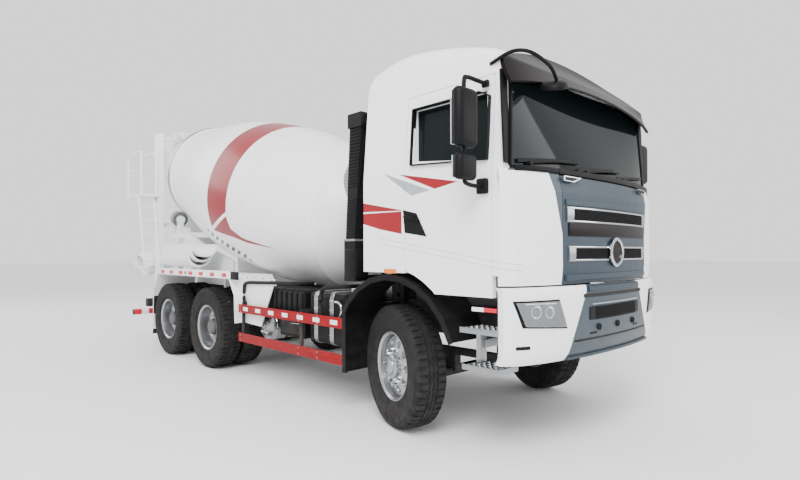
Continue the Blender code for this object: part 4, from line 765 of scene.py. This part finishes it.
def roof():
    """Height = eaves + crown(y) * (1 - |u|^4)^(1/4): full across the middle, rounding down at the sides."""
    u = np.sin(np.linspace(-np.pi / 2, np.pi / 2, 41))
    x = 1.1592 * u
    rows = np.linspace(0, len(CROWN) - 1, 57)
    y, rise = (np.interp(rows, np.arange(len(CROWN)), CROWN[:, i]) for i in (0, 1))
    forward = ((.34 - y) / 1.44) ** 3
    plan = FRONT_Y + y[:, None] + forward[:, None] * (bow(x) - 0.172 * (x / 1.27) ** 2 + 0.052)
    z = EAVES + rise[:, None] * (1 - np.abs(u) ** 4.0) ** 0.25
    top = np.stack([x + 0 * z, plan, z], -1)
    return panel(top, top * (1, 1, 0) + (0, 0, EAVES), WHITE)


piece("roof_skin", "cab", [roof()], ("cab_roof",), 40)
print("roof box", ROOF_LOW, ROOF_HIGH)

# %% Wipers, pillar strips and the round front mirror
def on_screen(x, z):
    """A point 30 mm in front of the cab's front curve."""
    return np.array((x, screen_y(x, z) - .030, z))


BLADE, PIVOT = soft_rectangle(.008, .030, .003, 1), [(0.0, -.01), (.020, -.01), (.018, .02), (0.0, .024)]
trim = []
for x0, x1 in ((-.95, -.30), (-.20, .45), (.50, 1.0)):
    a, b = on_screen(x0, 2.150), on_screen(x1, 2.215)
    trim += [pipe([a, (a + b) / 2 + (0, -.012, .01), b], 0.007, PLASTIC, 5, 8),
             carried(BLADE, [on_screen(x0 - .12 + i * .13, 2.162 + i * .012) for i in range(6)], PLASTIC),
             turned(PIVOT, a, FORWARD, 16, PLASTIC, False)]
trim += [sill_strip(-1.12, -.727), sill_strip(.727, 1.12)]
pillar = [on_screen(-1.135, z) + (-.012, .024, 0) for z in np.linspace(2.14, 2.80, 8)]
trim += both_sides([carried(soft_rectangle(.075, .016, .005), pillar, PLASTIC, FORWARD)])

ARM = [(-1.165, -1.02, 2.86), (-1.20, -1.22, 2.885), (-1.16, -1.345, 2.86), (-.98, -1.385, 2.80), (-.83, -1.350, 2.745)]
trim += [pipe(np.array(ARM) + (0, FRONT_Y, 0), 0.013, PLASTIC, 6, 12)]
mirror_at, mirror_face = (-.80, FRONT_Y - 1.312, 2.70), (.35, 0.25, -.9)
SHELL = [(0.0, -.055), (.05, -.052), (.085, -.038), (.100, -.015), (.102, 0.0), (.096, .006), (.092, .004)]
DISC = [(.093, .003), (.05, .007), (0.0, .009), (0.0, -.01), (.093, -.004)]
trim += [turned(outline, mirror_at, mirror_face, 40, finish, False)
         for outline, finish in ((SHELL, PLASTIC), (DISC, MIRROR))]
piece("wipers_and_front_mirror", "cab", trim, angle=40)


# %% Smooth windscreen and visor
def windscreen():
    """A thin sheet on the screen curve, narrowing upwards, with a rubber rim at each side."""
    u, z = np.linspace(-1, 1, 49)[None, :], np.linspace(2.128, 2.868, 13)[:, None]
    x = u * (1.125 - (z - BELT) * 0.0787)
    face = np.stack([x, screen_y(x, z) - .016, z + 0 * u], -1)
    rim = carried(soft_rectangle(.016, .030, .004, 1), face[:, 0] + (.004, .004, 0), PLASTIC, FORWARD)
    return [panel(face, face + (0, .008, 0), GLASS)] + both_sides([rim])


def visor():
    """The blade leans out by 0.16 * (1 - v)^1.6 at its foot and follows the roof at its top."""
    u, v = np.linspace(-1, 1, 61)[None, :], np.linspace(0, 1, 25)[:, None]
    x = 1.17 * u + 0 * v
    z = (2.80 - .10 * u ** 2) * (1 - v) + (3.15 - .26 * u ** 2) * v
    rise = np.maximum(0, z - EAVES)
    y = screen_y(x, np.minimum(z, EAVES)) + .105 * np.minimum(rise / .16, 1) + .45 * np.maximum(0, rise - .16)
    y += -.010 - .16 * (1 - v) ** 1.6 * (1 - .6 * u ** 2)
    face = np.stack([x, y - .018, z], -1)
    lip = carried(round_section(.011, 10), face[0] + (0, .012, 0), GLOSS_BLACK)
    return [panel(face, np.stack([x, y + .012, z], -1), GLOSS_BLACK), lip]


piece("windscreen_glass", "cab", windscreen(), ("windscreen",), 40)
piece("sun_visor_blade", "cab", visor(), ("sun_visor",), 40)

# %% Door mirrors, handles and window frames
def door_mirror():
    """Two soft housings on one bent arm; the glass faces backwards."""
    x, y = -1.44, FRONT_Y - 1.00
    parts = []
    # Half width, front, back, bottom, top, finish and edge of both housings and both glasses.
    for half, fore, back, low, high, finish, edge in (
            (.108, -.055, .040, 2.225, 2.635, PLASTIC, .045), (.098, -.050, .036, 2.005, 2.188, PLASTIC, .038),
            (.092, .034, .0445, 2.245, 2.615, MIRROR, .003), (.084, .030, .0415, 2.020, 2.172, MIRROR, .003)):
        parts.append(block((x - half, y + fore, low), (x + half, y + back, high), finish, edge))
    arm = [(-1.19, 2.715), (-1.30, 2.718), (x + .03, 2.716), (x, 2.67), (x, 2.35), (x, 2.03),
           (x + .03, 1.985), (-1.32, 1.975), (-1.225, 1.975)]
    return parts + [pipe([(a, y, z) for a, z in arm], .0155, PLASTIC, 5),
                    block((-1.262, y - .045, 1.925), (-1.2205, y + .045, 2.035), PLASTIC, .012),
                    block((-1.215, y - .03, 2.69), (-1.188, y + .03, 2.74), PLASTIC, .008)]


def on_door(back, z, proud=0.0):
    """A point on the door's outer face, which leans in by 4.5 degrees above the belt."""
    return -(1.2235 - max(0.0, z - BELT) * math.tan(math.radians(4.5))) - proud, FRONT_Y + back, z


def door_trim():
    """The dark window surround, the handle and its recess."""
    outline = np.array([(-1.045, 2.150), (-.24, 2.200), (-.238, 2.690), (-.95, 2.690), (-1.045, 2.640), (-1.047, 2.30)])
    middle = outline.mean(axis=0)
    loop = [on_door(*(middle + (p - middle) * (.955, .93)), -0.002) for p in outline[[0, 1, 2, 3, 4, 5, 0]]]
    parts = [carried(soft_rectangle(.010, .052, .002, 1), np.linspace(a, b, 4), PLASTIC, (1, 0, 0))
             for a, b in zip(loop, loop[1:])]
    recess = np.array([[on_door(-.189, 1.675), on_door(-.434, 1.638)], [on_door(-.169, 1.862), on_door(-.323, 1.827)]])
    handle = [on_door(-.19, 1.80, .002), on_door(-.215, 1.805, .022), on_door(-.33, 1.775, .022),
              on_door(-.355, 1.762, .002)]
    return parts + [panel(recess + (-.0012, 0, 0), recess + (.004, 0, 0), PLASTIC),
                    pipe(handle, .011, GLOSS_BLACK, 5, 10)]


def side_piece(name, body, parts, stem, hides=(), angle=35):
    """The parts as they are on the right, or turned over on the left."""
    made = parts if stem == "right" else [flipped(part) for part in parts]
    return piece(name + "_" + stem, body, made, hides, angle)


STEMS = ("right", "left")
for stem in STEMS:
    side_piece("mirrors", "door_" + stem, door_mirror(), stem, ("mirror_" + stem,), 40)
    side_piece("door_trim", "door_" + stem, door_trim(), stem, angle=40)
print("cab dressed")

# %% [markdown]
# ## Side guards, tanks and hoops
# Under the body hang red guard bars with white reflectors, black bent-tube hoops,
# a fuel tank with steel straps, a ribbed battery cover and an air tank whose
# domed end faces outwards. The right side is made once, and turned over for the
# left.

# %% Side guards
OUTWARD, POSTS = (-1, 0, 0), (1.405, 2.66)


def AT(back):
    """A distance behind the front axle, as y."""
    return FRONT_Y + back


def bent(points, radius, finish, steps=5, count=12):
    """A pipe whose points are given as x, distance behind the front axle and z."""
    return pipe(np.array(points) + (0, FRONT_Y, 0), radius, finish, steps, count)


def bolt(radius, tall, back, z, x, finish, foot=0.0):
    """A six-sided bolt head that faces outwards."""
    outline = [(0.0, foot), (radius, foot), (radius, tall), (0.0, tall + (.002 if radius > .008 else .001))]
    return turned(outline, (x, AT(back), z), OUTWARD, 6, finish, False)


def guard_parts():
    """Two red rails with ribs, white tape on the upper one, posts, arms to the frame and two bent hoops."""
    parts = [block((-1.212, AT(.66), .80), (-1.186, AT(2.72), .90), RED, .008),
             block((-1.210, AT(.66), .455), (-1.186, AT(2.72), .555), RED, .008)]
    for z, x in ((.806, -1.212), (.894, -1.212), (.462, -1.2115), (.492, -1.2115), (.520, -1.2115), (.548, -1.2115)):
        parts.append(bar((x, AT(.665), z), (x, AT(2.715), z), .006, .012, RED, .002))
    for y in AT(.80 + .29 * np.arange(7)):
        parts.append(block((-1.2142, y - .055, .828), (-1.2105, y + .055, .872), TAPE_WHITE, .002))
    for y in map(AT, POSTS):
        parts += [block((-1.187, y - .02, .47), (-1.158, y + .02, .92), FRAME, .006),
                  block((-1.175, y - .018, .885), (-.475, y + .018, .925), FRAME, .006)]
    parts += [bolt(.010, .004, p, z, -1.2115, STEEL) for p in (1.07, *POSTS) for z in (.817, .883, .478, .535)]
    rear = [(-1.168, 2.655, .47), (-1.168, 2.655, .80), (-1.168, 2.655, 1.08), (-1.166, 2.60, 1.155), (-1.16, 2.3, 1.170),
            (-1.15, 1.75, 1.185), (-1.12, 1.55, 1.19), (-.95, 1.50, 1.19)]
    fore = [(-1.165, 1.07, .47), (-1.165, 1.07, .80), (-1.165, 1.07, 1.09), (-1.16, 1.01, 1.165), (-1.13, .85, 1.185),
            (-1.06, .70, 1.19), (-.80, .68, 1.19)]
    return parts + [bent(rear, .020, FRAME), bent(fore, .020, FRAME)]


for stem in STEMS:
    side_piece("guard_rails", "chassis", guard_parts(), stem, ("side_guard_" + stem,))

# %% Tank straps, filler pipe, battery ribs
STRAP = [(-.60, .5965), (-1.07, .5965), (-1.108, .612), (-1.1225, .65), (-1.1235, .86), (-1.1225, 1.07),
         (-1.108, 1.108), (-1.07, 1.1235), (-.60, 1.1235)]


def tank_parts():
    """Two straps with bolts, a bent filler pipe and cap, and ten ribs on the side and top of the battery cover."""
    parts = []
    for back in (.95, 1.215):
        parts.append(carried(soft_rectangle(.005, .062, .002, 1), [(x, AT(back), z) for x, z in STRAP], STEEL, (0, 1, 0)))
        parts += [bolt(.008, .005, back + d, z, -1.125, CHROME) for d in (-.018, .018) for z in (.70, .80, .95, 1.04)]
    parts.append(bent([(-1.118, .875, 1.03), (-1.15, .86, 1.035), (-1.155, .80, 1.035), (-1.155, .755, 1.0),
                       (-1.155, .755, .93), (-1.155, .79, .885), (-1.15, .86, .88), (-1.118, .875, .88)], .013, CHROME))
    cap = [(0.0, -.01), (.042, -.01), (.044, .02), (.038, .030), (0.0, .032)]
    parts.append(turned(cap, (-.90, AT(.85), 1.128), (0, 0, 1), 28, CHROME, False))
    for y in AT(1.49 + .105 * np.arange(10)):
        parts += [block((-1.112, y, .875), (-1.095, y + .060, 1.085), PLASTIC, .008),
                  block((-1.09, y, 1.090), (-.60, y + .060, 1.112), PLASTIC, .008)]
    grip = [(-1.10, 1.56, .76), (-1.115, 1.60, .76), (-1.115, 1.70, .76), (-1.10, 1.74, .76)]
    return parts + [block((-1.087, AT(1.52), .63), (-1.075, AT(1.94), .85), FRAME, .006), bent(grip, .008, CHROME, 4, 8)]


def air_parts():
    """A tank with a domed end, a weld seam, two straps, five fittings and three thin pipes."""
    y, z = AT(2.31), .66
    at_end = lambda outline, finish, closed=True: turned(outline, (-1.075, y, z), OUTWARD, 48, finish, closed)
    shell = [(0.0, -.62), (.12, -.62), (.150, -.605), (.162, -.58), (.163, -.05),
             (.150, -.018), (.10, .0), (.05, .010), (0.0, .014)]
    fitting = [(0.0, -.02), (.016, -.02), (.016, .010), (.022, .012), (.022, .022), (0.0, .026)]
    parts = [at_end(shell, STEEL, False), at_end([(.1635, -.065), (.1665, -.06), (.1635, -.055), (.161, -.06)], CHROME)]
    for a in (0.0, -.22):
        parts.append(at_end([(.1665, a - .25), (.1665, a - .21), (.1635, a - .21), (.1635, a - .25)], FRAME))
    parts += [turned(fitting, (-1.078, y + a, z + b), OUTWARD, 6, CHROME, False)
              for a, b in ((0, .0), (-.07, .05), (.07, .05), (-.03, -.08), (.05, -.07))]
    for a, b in ((-.07, .05), (.07, .05), (0, 0)):
        parts.append(pipe([(-1.095, y + a, z + b), (-1.125, y + a * .9, z + b + .02), (-1.12, y + a * .5, z + .13),
                           (-1.06, y + a * .3, z + .19), (-.9, y, z + .20)], .006, IRON, 5, 8))
    return parts + [block((x, y - .03, .82), (x + .05, y + .03, .87), FRAME, .005) for x in (-.85, -.63)]


for stem in STEMS:
    side_piece("tank_fittings", "chassis", tank_parts(), stem)
piece("air_tank_body", "chassis", air_parts(), hides=("air_tank",))

# %% [markdown]
# ## Rear mudguards, flaps and reflectors
# A white strip with red blocks runs over the rear wheels, the panel in front of
# them is bolted on, and a rubber flap hangs behind.

# %% Rear mudguard dressing
FENDER_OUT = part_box("rear_fender_right")[0][0]
BOLTS = ((2.05, 1.20), (2.25, 1.22), (2.45, 1.22), (2.62, 1.22), (2.95, .70),
         (2.95, .90), (2.95, 1.08), (3.10, .70), (3.10, .90))


def mudguard_parts():
    """A taped strip, panel bolts, a red lamp, and a flap that hangs as 0.06 * (1 - v)^1.5."""
    x = FENDER_OUT
    parts = [block((x - .003, AT(2.90), 1.196), (x + .004, AT(5.34), 1.282), TAPE_WHITE, .002),
             block((x - .006, AT(2.70), 1.188), (x + .006, AT(2.90), 1.286), PLASTIC, .004),
             block((-1.215, AT(5.520), .93), (-.65, AT(5.535), .98), FRAME, .004)]
    for y in AT(3.08 + .345 * np.arange(7)):
        parts.append(block((x - .0045, y - .065, 1.214), (x + .003, y + .065, 1.264), TAPE_RED, .002))
    parts += [bolt(.010, .004, back, z, -1.142, IRON, -.004) for back, z in BOLTS]
    across, v = np.linspace(-1.215, -.65, 6)[None, :], np.linspace(0, 1, 8)[:, None]
    flap = np.stack([across + 0 * v, AT(5.535) + .06 * (1 - v) ** 1.5 + 0 * across, .24 + .72 * v + 0 * across], -1)
    lamp_ = [(0.0, 0.0), (.022, 0.0), (.022, .008), (0.0, .012)]
    return parts + [panel(flap, flap + (0, .007, 0), RUBBER),
                    turned(lamp_, (x - .003, AT(4.28), 1.240), OUTWARD, 24, LENS_RED, False)]


for stem in STEMS:
    side_piece("mudguard_dressing", "chassis", mudguard_parts(), stem)
print("rear mudguard dressed, outer face at", FENDER_OUT)

# %% [markdown]
# ## Arch, step and stack details
# An amber lamp sits on the wheel arch, the steps are folded sheet with rows of
# raised holes, and the intake stack has a ribbed middle and a slatted head.

# %% Arch lamp and steps
def step_parts():
    """The arch lamp, a folded edge and rows of raised rings on both treads, and a taped bracket."""
    parts = [block((-1.228, AT(-.085), 1.338), (-1.208, AT(.07), 1.376), AMBER, .008)]
    for z, y0, y1 in ((.6855, AT(-1.12), AT(-.79)), (.9555, AT(-1.10), AT(-.77))):
        parts += [turned([(.020, 0.0), (.018, .005), (.012, .005), (.010, -.001)], (x, y, z - .001), (0, 0, 1), 14, STEEL)
                  for x in (-1.19, -1.13, -1.07, -1.01) for y in np.linspace(y0 + .04, y1 - .04, 6)]
        parts += [block((-1.222, y0 - .002, z - .034), (-1.216, y1 + .002, z + .008), STEEL, .002),
                  block((-1.222, y0 - .004, z - .034), (-.99, y0 + .002, z + .008), STEEL, .002)]
    return parts + [block((-1.06, AT(-1.16), 1.06), (-.95, AT(-1.13), 1.18), GREY, .006),
                    block((-1.205, AT(-1.09), 1.085), (-1.195, AT(-.87), 1.115), TAPE_RED, .002),
                    block((-1.206, AT(-.98), 1.085), (-1.196, AT(-.87), 1.115), TAPE_WHITE, .002)]


for stem in STEMS:
    side_piece("arch_lamp_and_treads", "chassis", step_parts(), stem, angle=30)


# %% Intake stack ribs
def stack_parts():
    """Ribs and slats that follow the stack's lean, with upright bars over the slats, a cap, a foot and a clamp."""
    lean = lambda z: AT(np.interp(z, [1.55, 2.70], [.580, .4925]))
    parts = [block((-1.192, lean(z) - .070, z), (-1.028, lean(z) + .070, z + .012), PLASTIC, .005)
             for z in np.arange(1.66, 2.02, .026)]
    parts += [block((-1.194, lean(z) - .074, z), (-1.026, lean(z) + .074, z + .010), PLASTIC, .004)
              for z in np.arange(2.12, 2.64, .030)]
    parts += [bar((x, lean(2.10) - .078, 2.10), (x, lean(2.66) - .078, 2.66), .010, .010, PLASTIC, .003, (1, 0, 0))
              for x in np.linspace(-1.17, -1.05, 4)]
    return parts + [block((-1.198, AT(.385), 2.672), (-1.022, AT(.598), 2.786), PLASTIC, .02),
                    block((-1.196, AT(.492), 1.262), (-1.024, AT(.668), 1.56), PLASTIC, .025),
                    bar((-1.11, AT(.50), 1.63), (-1.11, AT(.66), 1.63), .172, .020, STEEL, .004)]


piece("stack_ribs", "chassis", stack_parts(), angle=35)
print("side dressed")

# %% [markdown]
# ## Seats
# A truck seat is two crowned cushions and a head rest. Each is a rounded solid
# with soft corners: the crown comes from a power curve that stays full in the
# middle and pulls in towards the piping at the edge.

# %% Cushions
CLOTH = Finish("seat_cloth", (0.045, 0.047, 0.052), 0.9, Sheen_Weight=0.3)
CLOTH.set({"Base Color": CLOTH.mix(CLOTH.noise(40, 4) * 0.6, (0.050, 0.052, 0.058), (0.026, 0.027, 0.030))})
CLOTH.bump((CLOTH.x.wave(0.002) + CLOTH.z.wave(0.002) + CLOTH.y.wave(0.002)) * 250.0, 0.0005, 0.3)


def cushion(low, high, corner=0.32):
    """Superellipsoid: half size * sign(c) * |c|^corner of the two angles, crowned by 0.006 * (1 - x^2), with a groove."""
    low, high = np.array(low, float), np.array(high, float)
    u = np.linspace(-np.pi, np.pi, 56, endpoint=False)[None, :]
    v = np.linspace(-np.pi / 2, np.pi / 2, 28)[:, None]
    power = lambda w: np.sign(w) * np.abs(w) ** corner
    flat = power(np.cos(v))
    unit = np.stack([flat * power(np.cos(u)), flat * power(np.sin(u)), power(np.sin(v)) + 0 * u], -1)
    crown = 1 + 0.006 * (1 - np.clip(np.abs(unit[..., :1]), 0, 1) ** 2)
    shape = unit * (high - low) / 2 * crown
    shape[..., 2] *= 1 - 0.06 * np.exp(-(unit[..., 0] / .08) ** 2)
    return (shape + (low + high) / 2).reshape(-1, 3), [grid_faces(28, 56, False, True)], CLOTH.material


for stem in STEMS:
    low, high = (np.array(corner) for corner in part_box("seat_" + stem))
    size, z = high - low, lambda share: low[2] + (high - low)[2] * share
    back = low[1] + size[1] * 0.74
    frame_ = block((low[0] + .06, low[1] + .06, low[2] + .002), (high[0] - .06, high[1] - .12, z(.30)), TRIM, .03)
    piece("seat_base_" + stem, "cab", [frame_], ("seat_" + stem,))
    for name, x, y, bottom, top in (("seat_cushion_", .01, (low[1] + .005, back + .03), z(.29), z(.46)),
                                    ("seat_back_", .015, (back - .02, high[1] - .03), z(.42), z(.83)),
                                    ("head_rest_", size[0] * .27, (back + .01, high[1] - .04), z(.85), high[2] - .005)):
        soft = piece(name + stem, "cab", [cushion((low[0] + x, y[0], bottom), (high[0] - x, y[1], top))])
print("seats ready, box", low, high)

# %% [markdown]
# ## Hopper rim, rear lamps and plate
# The hopper has a rolled rim and pressed ribs. The rear beam carries two lamp
# boxes with a blank plate between them, and the tube below it ends in red and
# white bands.

# %% Hopper rim and ribs
# Each ring of the hopper: middle, height, half length, half width and slope.
HOPPER_RINGS = np.array([(AT(6.30), 3.04, .17, .26, -.9), (AT(6.66), 3.42, .34, .42, -.35),
                         (AT(6.74), 3.66, .42, .52, 0.0)])


def on_hopper(u, v, out):
    """Points at the two lower rings and just under the top one: middle + (u * half width, v * half length) + out."""
    y, z, half, wide, slope = (np.interp((0, 1, 1.85), (0, 1, 2), column) for column in HOPPER_RINGS.T)
    return np.stack([u * wide, y + v * half, z + v * half * slope], -1) + out


def hopper_parts():
    """Four rolled edges round the mouth, and ribs that follow the three rings."""
    y, z, half, wide, _ = HOPPER_RINGS[-1] - (0, .004, .017, .013, 0)
    corners = [(u * wide, y + v * half, z) for u, v in ((-1, -1), (1, -1), (1, 1), (-1, 1), (-1, -1))]
    parts = [carried(round_section(.016), np.linspace(a, b, 2), WHITE) for a, b in zip(corners, corners[1:])]
    for u, v, out, up in ((-.55, 1, (0, .002, 0), (0, 1, 0)), (.55, 1, (0, .002, 0), (0, 1, 0)),
                          (-1, -.35, (-.003, 0, 0), (1, 0, 0)), (-1, .45, (-.003, 0, 0), (1, 0, 0)),
                          (1, -.35, (.003, 0, 0), (1, 0, 0)), (1, .45, (.003, 0, 0), (1, 0, 0))):
        parts.append(carried(soft_rectangle(.034, .016, .006), on_hopper(u, v, out), WHITE, up))
    return parts


piece("hopper_rim_and_ribs", "hopper", hopper_parts(), angle=40)

# %% Lamps, plate and bands at the rear
def lamp_box():
    """A black box with three lenses that stand a little proud of it."""
    parts = [block((.640, AT(6.515), .604), (1.005, AT(6.570), .731), PLASTIC, .010)]
    for a, b, finish in ((.655, .770, LENS_RED), (.778, .880, AMBER), (.888, .990, LENS_RED)):
        parts.append(block((a, AT(6.565), .620), (b, AT(6.582), .715), finish, .006))
    return parts


def tube_band(middle, finish):
    """A thin sleeve round the tube, 0.12 m long."""
    ends = (middle - .06, middle + .06)
    outline = [(.0480, ends[0]), (.0511, ends[0]), (.0511, ends[1]), (.0480, ends[1])]
    return turned(outline, (0, AT(6.84), .48), (1, 0, 0), 32, finish)


plate = [block((-.235, AT(6.515), .606), (.235, AT(6.532), .729), PLASTIC, .006),
         block((-.220, AT(6.525), .616), (.220, AT(6.536), .719), TAPE_WHITE, .004)]
piece("rear_lamps_and_plate", "chassis", both_sides(lamp_box()) + plate, angle=40)
bands = [tube_band(side * middle, finish) for side in (-1, 1)
         for middle, finish in ((1.055, TAPE_RED), (.93, TAPE_WHITE), (.805, TAPE_RED))]
piece("rear_tube_bands", "chassis", bands, angle=30)

# %% Painted shade behind the openings of the rear pedestal
def pedestal_painted_shade():
    """A thin near-black sheet inside each opening, a little larger than the opening all round: painted shade."""
    corners = np.array([[(0, AT(5.10), 1.335), (0, AT(5.84), 1.335)], [(0, AT(5.20), 1.555), (0, AT(5.87), 1.675)]])
    return [panel(corners + (-.5365, 0, 0), corners + (-.530, 0, 0), PAINTED_SHADE)]


for stem in STEMS:
    side_piece("pedestal_painted_shade", "chassis", pedestal_painted_shade(), stem)
print("rear dressed")

# %% [markdown]
# ## Finishes for the solids that stay
# The plain shapes, such as the frame, axles and glass, are already right, so each
# only takes its finish.

# %% Give every shown solid its finish
FINISH_OF = {
    CAB_WHITE: "cab_shell door_right door_left corner_panel_right corner_panel_left",
    WHITE: "cab_roof spare_chutes rear_pedestal rear_frame hopper ladder_platform chute chute_extension "
           "rear_fender_right rear_fender_left",
    GREY: "front_hatch", BUMPER_PAINT: "front_bumper", GLOSS_BLACK: "sun_visor",
    GLASS: "windscreen door_glass_right door_glass_left",
    PLASTIC: "mirror_right mirror_left intake_stack front_fender_right front_fender_left fuel_tank_right fuel_tank_left "
             "battery_box_right battery_box_left steering_wheel",
    STEEL: "step_right step_left water_tank air_tank drum_roller_right drum_roller_left",
    FRAME: "chassis_frame front_axle rear_bogie drum_drive chute_carrier underrun_beam",
    IRON: "engine_block drive_shaft knuckle_right knuckle_left",
    RED: "side_guard_right side_guard_left", TRIM: "dashboard seat_right seat_left",
}
for finish, names in FINISH_OF.items():
    for name in names.split():
        slots = NODES[name].data.materials
        for number in range(len(slots)):
            slots[number] = finish
        if not slots:
            slots.append(finish)
print("finished", sum(len(names.split()) for names in FINISH_OF.values()), "solids")

# %% [markdown]
# ## Floor, light and camera
# A pale floor that fades into a pale surround, one large soft light high on the
# left, weaker ones on the right and behind, and an even sky give the soft studio
# look.

# %% Floor
floor_finish = Finish("pale_floor", (0.86, 0.86, 0.86), 0.75)
floor_finish.set({"Base Color": floor_finish.mix(floor_finish.noise(0.4), (0.86,) * 3, (0.84,) * 3)})
FLOOR_HALF, FLOOR_Z = 90, -0.001
floor_corners = [(x * FLOOR_HALF, y * FLOOR_HALF, FLOOR_Z) for x, y in ((-1, -1), (1, -1), (1, 1), (-1, 1))]
floor_mesh = bpy.data.meshes.new("floor")
floor_mesh.from_pydata(floor_corners, [], [(0, 1, 2, 3)])
floor_mesh.materials.append(floor_finish.material)
floor = bpy.data.objects.new("floor", floor_mesh)
bpy.context.scene.collection.objects.link(floor)

# %% Lights
world = bpy.context.scene.world or bpy.data.worlds.new("studio")
bpy.context.scene.world = world
world.use_nodes = True
sky = world.node_tree.nodes["Background"]
sky.inputs["Color"].default_value = (1.0, 1.0, 1.0, 1)
sky.inputs["Strength"].default_value = 1.45


def soft_light(name, place, aim, size, power):
    """A square area light at place, turned towards aim."""
    light = bpy.data.lights.new(name, "AREA")
    light.size, light.energy, light.shape = size, power, "SQUARE"
    made = bpy.data.objects.new(name, light)
    made.location = place
    made.rotation_euler = (Vector(aim) - Vector(place)).to_track_quat("-Z", "Y").to_euler()
    bpy.context.scene.collection.objects.link(made)


soft_light("key_light", (-9.0, -9.0, 11.0), (0, -1, 1.5), 7.0, 2900)
soft_light("fill_light", (7.0, -12.0, 5.0), (0, -2, 1.5), 6.0, 450)
soft_light("back_light", (-6.0, 12.0, 8.0), (0, 1, 2), 7.0, 500)

# %% Camera
lens = bpy.data.cameras.new("camera")
lens.lens, lens.sensor_width = 24.2, 36.0
lens.shift_x, lens.shift_y = -0.0046, 0.0125
lens.clip_end = 400
camera = bpy.data.objects.new("camera", lens)
camera.matrix_world = Matrix.Translation((-4.282, -6.227, 1.5095))
for angle, axis in ((-43.93, "Z"), (90.314, "X"), (-0.196, "Z")):
    camera.matrix_world = camera.matrix_world @ Matrix.Rotation(math.radians(angle), 4, axis)
bpy.context.scene.collection.objects.link(camera)
bpy.context.scene.camera = camera
